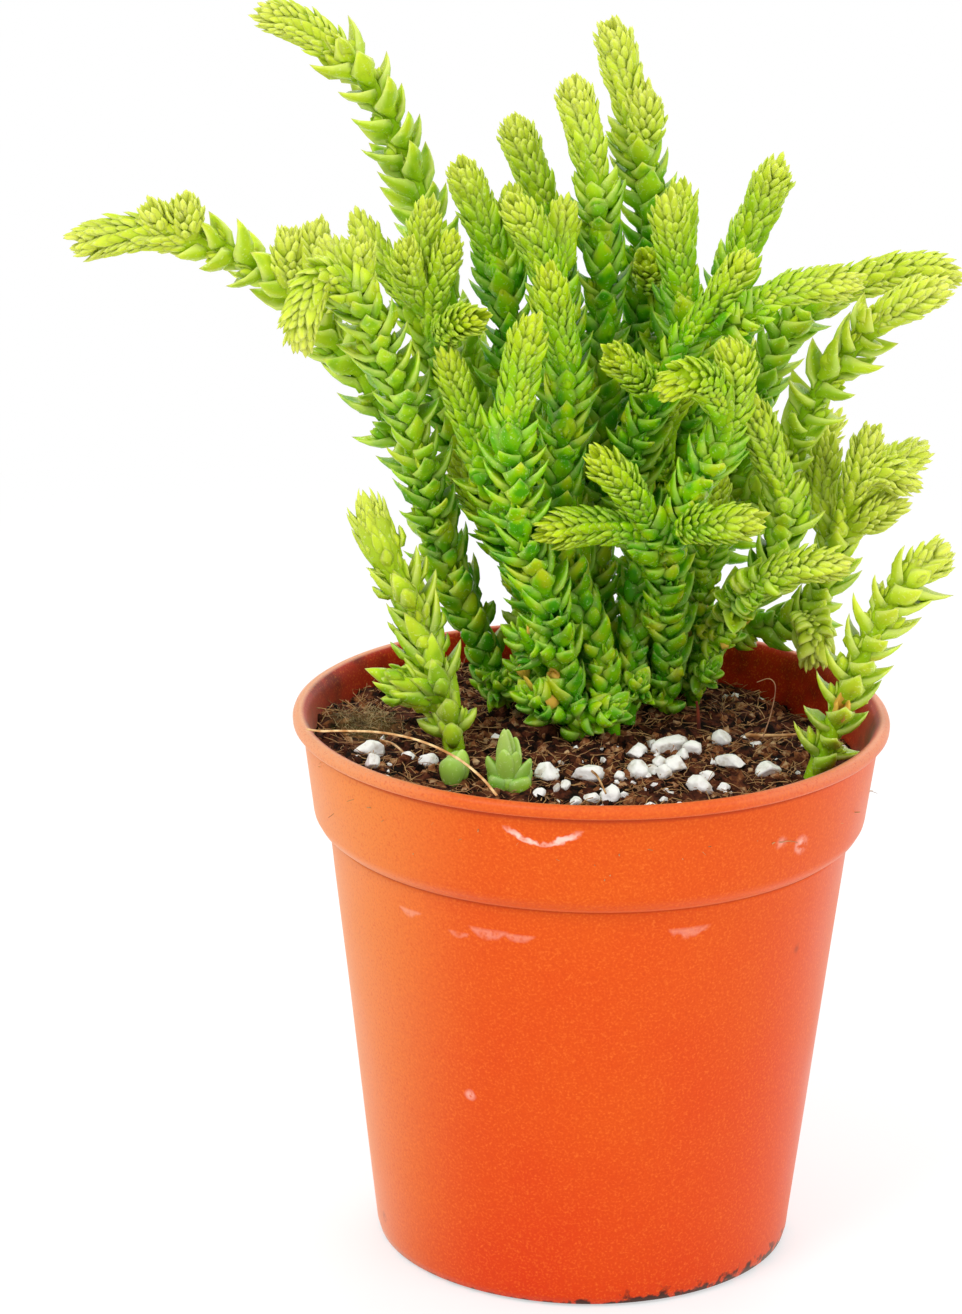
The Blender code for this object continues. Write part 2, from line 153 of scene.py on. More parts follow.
def gather(name, objects):
    # forms kept out of sight for a tree to pick from
    kept = bpy.data.collections.new(name)
    for obj in objects:
        bpy.context.scene.collection.objects.unlink(obj)
        kept.objects.link(obj)
    return kept


def discard(kept):
    # the forms aren't needed once every tree has run
    for obj in list(kept.objects):
        bpy.data.objects.remove(obj)
    bpy.data.collections.remove(kept)


def addMark(mesh, key, values):
    # a float for each point, for a material or a tree to read
    mesh.attributes.new(key, "FLOAT", "POINT").data.foreach_set("value", values)


def placed(name, data):
    # a mesh, lamp or camera as an object in the scene
    obj = bpy.data.objects.new(name, data)
    bpy.context.scene.collection.objects.link(obj)
    return obj


def spikeFaces(first, around, rings):
    # a foot, the sides ring by ring and a fan to the point, which comes after the last ring
    faces, point = [tuple(range(first, first + around))], first + around * rings
    for low in range(first, point, around):
        for k in range(around):
            a, b = low + (k + 1) % around, low + k
            faces.append((a, b, point) if low + around == point else (a, b, b + around, a + around))
    return faces


def turnedFaces(around, rings):
    # a first point, the rings and a last point, closed at both ends
    last, faces = 1 + around * rings, []
    for k in range(around):
        on = (k + 1) % around
        faces.append((0, 1 + on, 1 + k))
        for low in range(1, last - around, around):
            faces.append((low + k, low + on, low + around + on, low + around + k))
        faces.append((last - around + k, last - around + on, last))
    return faces


# the soil's even height in mm; it is higher on the left and round the crown of the plant
soil = {
    "level": 51.3, "tilt": -0.06,
    "crownRise": 1.4, "crownSpread": 12.0, "crown": (3, 9),
}


def soilHeight(x, y):
    away = (x - soil["crown"][0]) ** 2 + (y - soil["crown"][1]) ** 2
    crown = math.exp(-away / (2 * soil["crownSpread"] ** 2))
    return soil["level"] + soil["tilt"] * x + soil["crownRise"] * crown


# each stem's girth and the routes of it and its side shoots, in mm; the first point of a stem lies on the soil
stemRoutes = {
    "front_centre_stem": (2.4, [
        [(-1, 1.5), (-3, 0, 61), (-4.5, -2, 68), (-7, -3.5, 75), (-8, -5, 83), (-8, -5.5, 89),
         (-6.5, -5.5, 97)],
    ]),
    "centre_stem": (2.2, [
        [(2.3, 2.5), (1, 3, 60), (-1.5, 4, 67), (-3.5, 2.5, 74), (-3.5, 1.5, 82), (-3, 1, 90),
         (-5, 0, 101)],
    ]),
    "low_left_stem": (2.1, [
        [(-3.4, 4.6), (-4.4, 4.2, 61.5), (-7.2, 4, 69.5), (-10.2, 3, 77), (-13, 2, 86), (-15, 2, 92)],
        [(-4.8, 4.2, 63), (-6.8, 6, 68.5), (-10.2, 7, 73.5), (-14.2, 7, 79.8)],
    ]),
    "drooping_left_stem": (2.3, [
        [(-9, 10), (-11.5, 8.5, 60), (-14.5, 7, 67.5), (-16.5, 4, 76), (-18.5, 2, 85), (-21, 0, 92.5),
         (-23.5, -2, 98.5), (-26.5, -4.5, 101), (-28.5, -7, 98), (-28.5, -8, 95)],
        [(-23, -1.5, 97.5), (-23.5, -1.5, 101), (-23.3, -2, 104)],
        [(-24, -2.3, 99.5), (-25.5, 0, 101.5), (-26.5, 1, 103)],
    ]),
    "left_inner_stem": (2.1, [
        [(-4.4, 9), (-5.2, 9.2, 61.5), (-7.6, 9.6, 68), (-11.6, 10.4, 75), (-14.5, 9.7, 82), (-16, 8, 89),
         (-16.5, 6, 96), (-14.5, 4.5, 103)],
        [(-16.5, 6, 95), (-17.5, 7, 100.5), (-17, 7, 106)],
        [(-16.3, 6.7, 92), (-14, 1.5, 95), (-11.5, -1.5, 96.5)],
        [(-16.4, 6.5, 94), (-18.5, 5, 98.5), (-19, 3.5, 102.5)],
        [(-15.8, 8, 90), (-19.2, 8.5, 96.5), (-22.6, 9, 100.8), (-24.1, 9, 104)],
    ]),
    "far_left_stem": (2.4, [
        [(-9.5, 14), (-12.2, 13.5, 62), (-15.5, 13.5, 69.5), (-18.2, 13.5, 77), (-23.8, 13, 86.7),
         (-31, 12, 95.7), (-36, 11, 99.1), (-40, 10, 101.1), (-45, 9, 102.1), (-52, 8, 101.2)],
        [(-41, 9.8, 101.4), (-41.2, 8, 105.4)],
        [(-43.3, 9.4, 101.8), (-44.6, 8, 104.6)],
        [(-31, 12, 95.7), (-30.9, 10.5, 99), (-30.9, 10, 101.9)],
        [(-27.6, 12.5, 91.5), (-28.2, 10.5, 96.5), (-28.3, 10, 102.7)],
    ]),
    "top_left_stem": (2.5, [
        [(-6, 14), (-6.5, 15, 62), (-8.5, 16.5, 70), (-11, 17.5, 80), (-14.5, 18, 91), (-17.5, 18, 102),
         (-20, 18, 108.5), (-22.5, 17, 114.5), (-25.5, 16, 118.5), (-30, 15, 122), (-34, 14, 123.5)],
    ]),
    "back_left_stem": (2.3, [
        [(-2.5, 12), (-3.3, 12.8, 64), (-5.6, 13, 74), (-8.5, 12.5, 85), (-9, 12, 94), (-12.5, 12, 105),
         (-14, 11, 109)],
        [(-9, 12, 94.5), (-8.5, 14, 101), (-9, 14, 105.5)],
    ]),
    "back_centre_stem": (2.3, [
        [(-2.5, 16.5), (-3, 17.5, 64), (-3.5, 18, 75), (-3.5, 18, 86), (-4, 18, 95), (-5.5, 17.5, 103),
         (-7.5, 17, 108.5), (-9, 16, 112.5)],
    ]),
    "thick_centre_stem": (2.3, [
        [(-1.5, 8), (-1.5, 8.5, 64), (-3, 8.5, 75), (-3.5, 7, 86), (-4.5, 6, 96.5), (-6, 5, 102),
         (-8.5, 3, 107)],
        [(-4.6, 6, 97), (-4, 8.5, 102), (-3.5, 9, 105.5)],
    ]),
    "second_tall_stem": (2.3, [
        [(1.2, 11.5), (0.3, 12, 64), (0.2, 12.5, 72), (0.3, 13, 80), (0.5, 13, 93), (0.3, 12.7, 101),
         (-0.9, 12, 109), (-2.2, 12, 114), (-3, 11, 117.5)],
    ]),
    "tall_stem": (2.4, [
        [(1, 20), (0.3, 21, 62), (0.3, 21.5, 68), (2, 21, 78), (4, 20, 90), (4.8, 19, 100.5),
         (4.5, 19, 106), (3.4, 18, 112), (1.7, 18, 118.5), (0.7, 17, 122)],
        [(2.4, 20.8, 80), (6.2, 18.5, 86), (7.4, 17, 91), (8, 17.5, 105.6)],
        [(4.3, 19.6, 94), (5, 15.5, 97.5), (4.5, 13.5, 99)],
        [(4.1, 18.6, 108.5), (4.4, 17, 112), (4, 16.3, 115.6)],
    ]),
    "right_centre_stem": (2.4, [
        [(5.5, 15), (6, 15, 63), (7.5, 14.5, 72), (8.5, 12.5, 80), (9.5, 10.5, 87.5), (9, 9, 94),
         (7.5, 8, 101), (6.5, 7, 106.5)],
        [(7.6, 14.3, 73), (10.5, 17, 79), (12.5, 18, 88), (13.9, 17, 97.5), (15.8, 17, 103),
         (17.7, 16, 108.3)],
        [(8, 13.6, 75.5), (6.5, 10, 79), (6.5, 8.5, 83.5), (8.5, 7, 87.5)],
    ]),
    "right_front_stem": (2.1, [
        [(3.8, 6.3), (4, 7, 60), (4.8, 9.3, 66), (5, 9.3, 71), (4, 7.5, 76.5), (4, 5.5, 82), (5.5, 4, 87),
         (8, 3, 92.5), (11.5, 2, 97.5), (14.5, 1, 102.5)],
        [(9.5, 2.5, 94.5), (13.5, 0.5, 96), (17, -1, 99), (21.5, -2, 100.5), (25, -3, 101)],
        [(5.6, 4, 87.3), (4, 1, 90), (2, -1, 92.5), (1.5, -2.5, 93)],
    ]),
    "front_right_stem": (2.3, [
        [(7.5, 11), (7.8, 8, 60), (7.2, 4.5, 67.5), (8, 1, 74.5), (9.5, -1, 79), (11.5, -2, 83),
         (13, -3, 87), (13.5, -4.5, 92), (12.5, -5, 95)],
        [(12.8, -2.8, 86), (11, -6, 91), (9, -8.5, 92.5), (6.5, -9.5, 91.5)],
        [(7.6, 2.5, 71.5), (4.5, -2, 77.5), (2.5, -4.5, 81), (0, -6, 84)],
        [(8, 1, 74.5), (10.5, -4, 76.5), (16, -7, 78)],
        [(7.3, 4, 68.5), (4.5, 0, 74), (1.5, -2, 75.5), (-2, -4, 76), (-5, -5.5, 76)],
    ]),
    "low_right_stem": (1.9, [
        [(10.5, 15), (10.8, 13, 60), (11, 11, 66), (11.5, 9, 72), (12.5, 7.5, 78.5)],
    ]),
    "arching_right_stem": (2.2, [
        [(10, 19), (13, 18, 58.5), (18, 16, 60), (22, 13, 62.5), (24.3, 11.5, 68), (25.5, 10, 75),
         (28, 8.5, 78.5), (32, 7, 78)],
        [(25.6, 9.9, 75.3), (29.5, 13, 78), (33.3, 15.5, 79.3)],
        [(25.4, 10.2, 73.5), (26.5, 8.5, 78.5), (27.7, 8, 83.2)],
        [(24.4, 11.4, 69), (23.2, 12, 75), (23.4, 12, 81)],
        [(25, 10.6, 71.5), (28.3, 9, 74.3), (30.8, 8.5, 75.8)],
        [(21.5, 13.5, 62), (22.5, 9.5, 61.5), (22.5, 7.5, 59)],
        [(13, 18, 58.5), (14, 12, 62), (14.5, 5, 66), (16, -1, 69.5), (20, -4.5, 72.5), (24.5, -6, 73.5)],
        [(14.4, 5.5, 65.7), (17.5, 4.5, 69.5), (19, 3, 76), (17.3, 1.5, 82), (15, 0.5, 88)],
    ]),
    "far_right_stem": (2.3, [
        [(6, 19.5), (8, 19.7, 62), (12, 18.7, 70), (14.6, 17.5, 77), (16.2, 16.5, 84), (18, 16, 90),
         (21.2, 15, 94), (26, 14, 97), (31, 12.5, 98.6), (35.5, 11, 98.5)],
        [(12, 18.7, 70), (15.8, 15, 73.5), (18.8, 12, 78), (20.5, 9, 83), (22.2, 7, 87.5), (24.5, 6.5, 91),
         (27.4, 5.5, 94.8), (30.4, 4.5, 97.2), (33.8, 4, 99)],
    ]),
    "right_edge_stem": (2.8, [
        [(22.3, -3.8), (24.2, -4.5, 56.5), (26.2, -5.3, 62.5), (28.6, -6, 68.5), (31, -6, 72),
         (34.3, -6, 75)],
    ]),
    "left_front_stem": (3, [
        [(-13.5, -4), (-14.5, -4, 57.5), (-16, -4, 62), (-17.5, -4, 67), (-20, -5, 72), (-21.5, -5, 75.5),
         (-22.5, -5, 79)],
        [(-14.8, -4, 58.5), (-17.5, -5.5, 59.5), (-20, -7, 61)],
    ]),
    "rear_left_stem": (2.3, [
        [(-6, 19.5), (-7, 23, 64), (-10, 27, 75), (-13, 30, 86)],
    ]),
    "rear_centre_left_stem": (2.3, [
        [(-2, 22.5), (-3, 26, 66), (-4.5, 30, 80), (-5, 33, 90)],
        [(-3.9, 28.3, 74), (-0.5, 30.5, 78), (1, 33, 83)],
    ]),
    "rear_centre_stem": (2.3, [
        [(4, 23), (4.5, 26.5, 66), (5.5, 30, 78), (6, 34, 88)],
    ]),
    "rear_right_stem": (2.3, [
        [(8.5, 22.8), (11, 25.7, 63), (14, 29, 76), (16, 32, 86)],
        [(11.1, 25.8, 63.5), (16, 27.5, 68), (21, 28.5, 73), (25, 29, 79)],
    ]),
}


# the five forms a leaf takes: length, width and thickness in mm, lean from the stem at its foot and its tip in
# degrees, and how sharply it ends
leafForms = {
    "0 young scale": (2.6, 1.25, 0.75, 44, 12, 0.6),
    "1 boat": (3.0, 2.3, 1.4, 55, 26, 0.6),
    "2 thorn": (4.2, 2.75, 1.05, 72, 28, 1.1),
    "3 plump": (2.75, 2.15, 1.55, 72, 34, 0.45),
    "4 long": (4.2, 1.85, 1.1, 42, 18, 0.8),
}
youngForm, boatForm, thornForm, plumpForm, longForm = range(5)
# the narrow leaves that stand on both sides of each young one: length, width, thickness, lean at foot and tip
fringeForms = {
    "0 needle": (2.4, 0.96, 0.55, 42, 12),
    "1 short needle": (2.1, 1.05, 0.6, 46, 14),
    "2 bent needle": (2.5, 0.88, 0.5, 38, 17),
}
# the buds in the crooks: length in mm and how plump
budForms = {"bud a": (1.9, 1.0), "bud b": (1.4, 1.25), "bud c": (2.3, 0.9)}

stemHabit = {
    "tipGap": 1.05,        # mm from the last pair of leaves to the end of the stem
    "footGap": 0.5,
    "tightStep": 0.43,     # mm between pairs in the young tip
    "openStep": 1.15,      # mm between pairs where the stem has stretched
    "tight": 7.5,          # mm of young tip
    "loosening": 8.5,      # mm over which it opens
    "loose": 0.8,          # how far it opens, 0 to 1
    "turn": 45,            # degrees that the ranks stand round the stem
    "twist": 1.6,          # degrees a pair
    "apex": 0.74,          # size of the leaves at the very tip
    "young": 1.0,          # times the size of the leaves in the young tip
    "neck": 0.0,           # mm from the tip to a place where the leaves stay small, 0 for none
    "slim": 0.88,          # times the size of the leaves at the soil
    "older": 0.0,          # mm added to the distance from the tip as far as colour goes
    "pale": 0.0,           # how much painted light it gets at least, 0 to 1
    "spread": 0.98,        # times the size of the leaves where the stem has opened
    "long": False,         # whether its open leaves are the long narrow ones
    "fringe": 1.0,         # size of the narrow leaves in the young tip, and where the stem has opened
    "openFringe": 0.0,
    "lumpy": 21.0,         # mm above the soil up to which the leaves are short and swollen
}
# what each stem does apart from the habit above: one entry for the stem, then one for each side shoot
stemWays = {
    "top_left_stem": [{"turn": 0, "openStep": 1.75, "loosening": 4.5, "loose": 1.0, "twist": 1.5,
                       "young": 0.85, "spread": 1.04, "pale": 0.75}],
    "far_left_stem": [{"turn": 0, "openStep": 1.7, "tight": 10.5, "loosening": 4.5, "loose": 1.0,
                       "twist": 2, "spread": 1.04}],
    "far_right_stem": [{"tight": 10.0}, {"turn": 0, "openStep": 1.7, "tight": 6.0, "loosening": 5.0,
                                         "loose": 1.0, "twist": 1, "spread": 1.04, "pale": 0.8}],
    "right_edge_stem": [{"turn": 5, "openStep": 1.4, "tight": 2.5, "loosening": 4.0, "loose": 1.0,
                         "spread": 0.86, "young": 0.85, "twist": 0, "lumpy": 0, "pale": 0.6}],
    "left_front_stem": [{"turn": 8, "tight": 5.5, "loosening": 2.0, "loose": 1.0, "spread": 0.93,
                         "young": 0.53, "neck": 8.6, "slim": 0.96, "long": True, "twist": 0,
                         "openFringe": 1.0, "lumpy": 9.0, "pale": 0.8},
                        {"turn": 0, "tight": 0, "loosening": 1.0, "long": True, "spread": 0.8,
                         "openFringe": 1.0, "lumpy": 0, "pale": 0.6, "older": 12.0}],
}
# how leaves stay small or turn pale with their place
growth = {
    "usualGirth": 2.35,         # mm, of the stem that the leaf forms were drawn for
    "tipReach": 3.6,            # mm over which the leaves grow from the apex on
    "neckDepth": 0.68, "neckReach": 1.3,
    "slimReach": 14.0,          # mm above the soil in which leaves are smaller
    "boatFrom": 0.3, "thornFrom": 0.66,     # how open the stem is where the form changes
    "paleAbove": 99.0, "paleOver": 16.0,    # mm above the table, and over how many more the painted light turns it pale
    "middle": (-1.0, 8.0),      # of the clump
    "outFrom": 20.0, "outOver": 13.0,       # mm from the middle, and over how many more the painted light turns it pale
    "asideFrom": 11.0, "asideOver": 17.0,   # the same, to the left and right alone
    "core": 0.6, "coreLess": 0.24,          # the stem alone, as a share of its girth, less where it opens
    "coreTip": 0.35, "coreReach": 4.0,      # its share at the very tip, and mm over which it grows
    "tipEnd": 0.1, "footEnd": 0.36,         # its shares at the two ends
}


def leafForm(name, length, width, thick, footLean, tipLean, sharp):
    # a keeled, boat-shaped leaf that clasps the stem; +Z is up the stem and +X away from it
    # the first station draws the foot out down the stem
    stations = (-0.1 - 0.13 * sharp, 0.05, 0.3, 0.56, 0.8)
    points, reach, margin = [], [], []
    place, last = Vector((0, 0, 0)), 0.0
    for t in stations + (1.0,):
        lean = math.radians(footLean + (tipLean - footLean) * max(0.0, (t + last) / 2) ** 0.8)
        if t > 0:
            place = place + Vector((math.sin(lean), 0, math.cos(lean))) * (t - last) * length
            last = t
        if t == 1.0:
            break
        lean = math.radians(15 if t < 0 else footLean + (tipLean - footLean) * t ** 0.8)
        out = Vector((math.cos(lean), 0, -math.sin(lean)))
        spot = Vector((0, 0, t * length)) if t < 0 else place
        half = width / 2 * (0.36 if t < 0 else 0.7 + 0.3 * min(1.0, t / 0.3))
        half *= 1 - max(0.0, (t - 0.3) / 0.7) ** (2.6 - 1.3 * sharp)
        deep = thick * (0.5 if t < 0 else (1 - t) ** (0.45 + 0.35 * sharp))
        curl = -(0.5 - 0.3 * t) * half
        brow = 0.34 * deep + 0.35 * curl
        section = ((-1, curl, 1), (-0.84, brow, 0.6), (-0.46, 0.63 * deep, 0.2), (0, 0.74 * deep, 0),
                   (0.46, 0.63 * deep, 0.2), (0.84, brow, 0.6), (1, curl, 1), (0, -0.3 * deep, 0))
        for across, up, edge in section:
            points.append(spot + Vector((0, across * half, 0)) + out * up)
            reach.append(max(0.0, t))
            margin.append(edge)
    faces = spikeFaces(0, 8, len(stations))
    return meshObject(name, points + [place], faces, marks={"reach": reach + [1.0], "margin": margin + [1.0]})


def fringeForm(name, length, width, thick, footLean, tipLean):
    # one narrow leaf of four sides that ends in a soft point
    points, reach, margin, place, last = [], [], [], Vector((0, 0, 0)), 0.0
    for t, wide in ((0.0, 0.7), (0.45, 1.0), (0.82, 0.66), (1.0, 0.0)):
        lean = math.radians(footLean + (tipLean - footLean) * (t + last) / 2)
        place = place + Vector((math.sin(lean), 0, math.cos(lean))) * (t - last) * length
        last = t
        out = Vector((math.cos(lean), 0, -math.sin(lean)))
        for across, up in ((-1, 0), (0, 0.6), (1, 0), (0, -0.4)) if wide else ((0, 0),):
            points.append(place + Vector((0, across * width / 2 * wide, 0)) + out * up * thick * wide)
            reach.append(0.35 + 0.6 * t)
            margin.append(0.95 if across or not wide else 0.35)
    return meshObject(name, points, spikeFaces(0, 4, 3), marks={"reach": reach, "margin": margin})


def budForm(name, long, plump):
    # a young shoot in the crook of a leaf: small leaves round a point, each a pinched lobe
    points, faces, reach, margin = [], [], [], []

    def along(t, lean):
        lean = math.radians(lean * (1 - 0.5 * t))
        return Vector((0.22 + math.sin(lean) * t * long, 0, math.cos(lean) * t * long))

    for turn, lean, size in ((0, 34, 1.0), (180, 30, 0.95), (90, 14, 0.85), (270, 16, 0.8)):
        faces += spikeFaces(len(points), 4, 3)
        way = Matrix.Rotation(math.radians(turn), 3, "Z")
        for t, wide, deep in ((0.0, 0.5, 0.35), (0.45, 0.62, 0.42), (0.82, 0.3, 0.2)):
            base = along(t, lean) * size
            for across, out in ((-wide, -0.12), (0, deep), (wide, -0.12), (0, -0.3 * deep)):
                off = Vector((out * plump * size, across * plump * size, -out * 0.4 * size))
                points.append(way @ (base + off))
                reach.append(0.25 + 0.7 * t)
                margin.append(0.8 if across else 0.1)
        points.append(way @ (along(1.0, lean) * size))
        reach.append(0.9)
        margin.append(0.8)
    return meshObject(name, points, faces, marks={"reach": reach, "margin": margin})


def lineThrough(route):
    # closely spaced points on a smooth line through the route, and the length walked at each
    ends = [2 * route[0] - route[1]] + route + [2 * route[-1] - route[-2]]
    dense = []
    for a, b, c, d in zip(ends, ends[1:], ends[2:], ends[3:]):
        for k in range(16):
            t = k / 16
            dense.append(0.5 * (2 * b + (c - a) * t + (2 * a - 5 * b + 4 * c - d) * t * t
                                + (3 * b - a - 3 * c + d) * t ** 3))
    dense.append(route[-1])
    walked = [0.0]
    for p, q in zip(dense, dense[1:]):
        walked.append(walked[-1] + (q - p).length)
    return dense, walked


def framesOn(line, rooted):
    # heading and sideways direction at each point, turning no more than the line does
    frames, side = [], Vector((1, 0, 0))
    for k in range(len(line)):
        heading = (line[min(k + 1, len(line) - 1)] - line[max(k - 1, 0)]).normalized()
        if rooted and k == 0:
            heading = Vector((0, 0, 1))
        side = (side - side.dot(heading) * heading).normalized()
        frames.append((heading, side))
    return frames


def between(value):
    # held to 0 to 1
    return min(1.0, max(0.0, value))


def stopsOn(total, way, openStep):
    # how far from the tip each pair sits, whether it has leaves, and how open the stem is there
    stops, away = [(0.5, False, 0.0)], way["tipGap"]
    while away < total - way["footGap"]:
        eased = between((away - way["tight"]) / way["loosening"])
        opened = way["loose"] * eased * eased * (3 - 2 * eased)
        stops.append((away, True, opened))
        away += way["tightStep"] + (openStep - way["tightStep"]) * opened
    return stops + [(total, False, way["loose"])]


def seatsOn(route, girth, way, rooted, draw):
    # the pairs of leaves on one stem or shoot, from the tip down, then its foot
    line, walked = lineThrough([Vector(p) for p in route])
    frames, total = framesOn(line, rooted), walked[-1]
    stops = stopsOn(total, way, way["openStep"] * draw.uniform(0.94, 1.12))
    seats, k = [], len(line) - 1
    for pair, (away, leafy, opened) in enumerate(stops, -1):
        while k > 0 and walked[k] > total - away:
            k -= 1
        on = min(k + 1, len(line) - 1)
        share = (total - away - walked[k]) / max(1e-6, walked[on] - walked[k])
        point = line[k].lerp(line[on], between(share))
        heading, side = frames[k]
        turn = math.radians(way["turn"] + 90 * max(0, pair) + way["twist"] * max(0, pair))
        above = point.z - soilHeight(point.x, point.y)
        form = longForm if way["long"] else (youngForm if opened < growth["boatFrom"] else
                                             boatForm if opened < growth["thornFrom"] else thornForm)
        if above < way["lumpy"] and draw.random() < 1.15 - above / way["lumpy"]:
            form = plumpForm
        size = girth / growth["usualGirth"]
        size *= min(1.0, way["apex"] + (1 - way["apex"]) * away / growth["tipReach"])
        size *= way["young"] + (way["spread"] - way["young"]) * opened
        if way["neck"]:
            off = (away - way["neck"]) / growth["neckReach"]
            size *= 1 - growth["neckDepth"] * math.exp(-off ** 2)
        if rooted:
            size *= way["slim"] + (1 - way["slim"]) * min(1.0, (total - away) / growth["slimReach"])
        # painted light: leaves out in the light, high up or far from the middle, get the paler colours
        x, y = point.x - growth["middle"][0], point.y - growth["middle"][1]
        high = between((point.z - growth["paleAbove"]) / growth["paleOver"])
        wide = between(max((math.hypot(x, y) - growth["outFrom"]) / growth["outOver"],
                           (abs(x) - growth["asideFrom"]) / growth["asideOver"]))
        if leafy:
            core = growth["core"] - growth["coreLess"] * opened
            core *= min(1.0, growth["coreTip"] + away / growth["coreReach"])
        else:
            core = growth["tipEnd"] if away < 1 else growth["footEnd"]
        seats.append({
            "place": point, "heading": heading,
            "outward": side * math.cos(turn) + heading.cross(side) * math.sin(turn),
            "fromTip": away, "age": away + way["older"], "pale": max(way["pale"], high, wide),
            "opened": opened, "form": form, "size": size, "core": girth * core, "leafy": leafy,
            "fringe": way["fringe"] + (way["openFringe"] - way["fringe"]) * min(1.0, opened * 1.6)})
    return seats


def seatMesh(name, runs):
    # seats as a mesh of points, joined up along each run, with what the tree reads as attributes
    seats = [seat for run in runs for seat in run]
    edges, first = [], 0
    for run in runs:
        edges += [(first + k, first + k + 1) for k in range(len(run) - 1)]
        first += len(run)
    mesh = bpy.data.meshes.new(name)
    mesh.from_pydata([seat["place"] * mm for seat in seats], edges, [])
    for key in ("heading", "outward"):
        values = [c for seat in seats for c in seat[key]]
        mesh.attributes.new(key, "FLOAT_VECTOR", "POINT").data.foreach_set("vector", values)
    for key in ("fromTip", "age", "pale", "opened", "size", "core", "fringe"):
        addMark(mesh, key, [float(seat[key]) for seat in seats])
    for key, kind in (("form", "INT"), ("leafy", "BOOLEAN")):
        mesh.attributes.new(key, kind, "POINT").data.foreach_set("value", [seat[key] for seat in seats])
    return placed(name, mesh)


# what the tree of a leafy stem takes
leafSizes = {
    "Leaf Length": 1.0,        # times each form's own length
    "Leaf Width": 1.0,
    "Apex Lean": -24.0,        # degrees added at the very tip, so that it closes in a blunt dome
    "Apex Length": 2.8,        # mm over which the tip closes
    "Tip Lean": 0.0,           # degrees added to the lean of the young leaves
    "Open Lean": -13.0,        # degrees added where the stem has opened
    "Young Jitter": 5.0,       # degrees each leaf is off, near the tip and where the stem has opened
    "Open Jitter": 19.0,
    "Size Jitter": 0.15,
    "Seat Depth": 0.6,         # share of the core's radius at which a leaf starts
    "Bud Share": 0.7,          # share of the open leaves with a bud in the crook
    "Fringe Angle": 33.0,      # degrees from a young leaf to the narrow one beside it
    "Fringe Depth": 0.6,
    "Seed": 1,
}
stemLeans = {
    "top_left_stem": {"Open Lean": 0.0}, "far_left_stem": {"Open Lean": 0.0},
    "far_right_stem": {"Open Lean": -3.0}, "right_edge_stem": {"Open Lean": 0.0},
    "left_front_stem": {"Tip Lean": -14.0, "Open Lean": -6.0},
}
# how far out and up a bud sits in mm, its tilt in degrees, its sizes, and how open the stem is at the first
crook = {"out": 0.55, "up": 0.35, "tilt": 24, "size": (0.7, 1.35), "openFrom": 0.28}
# the least fringe that shows, and how far each needle is off, in degrees and in mm up the stem
fringe = {"least": 0.15, "wobble": 10.0, "rise": (-0.1, 0.25)}


def tubeOn(tree, lines, thick):
    # a round tube along the edges of a mesh; thick is its radius in mm
    curve = addNode(tree, "GeometryNodeMeshToCurve", {"Mesh": lines})
    ring = addNode(tree, "GeometryNodeCurvePrimitiveCircle", {"Resolution": 8, "Radius": mm})
    return addNode(tree, "GeometryNodeCurveToMesh", {
        "Curve": curve, "Profile Curve": ring, "Scale": thick, "Fill Caps": True})


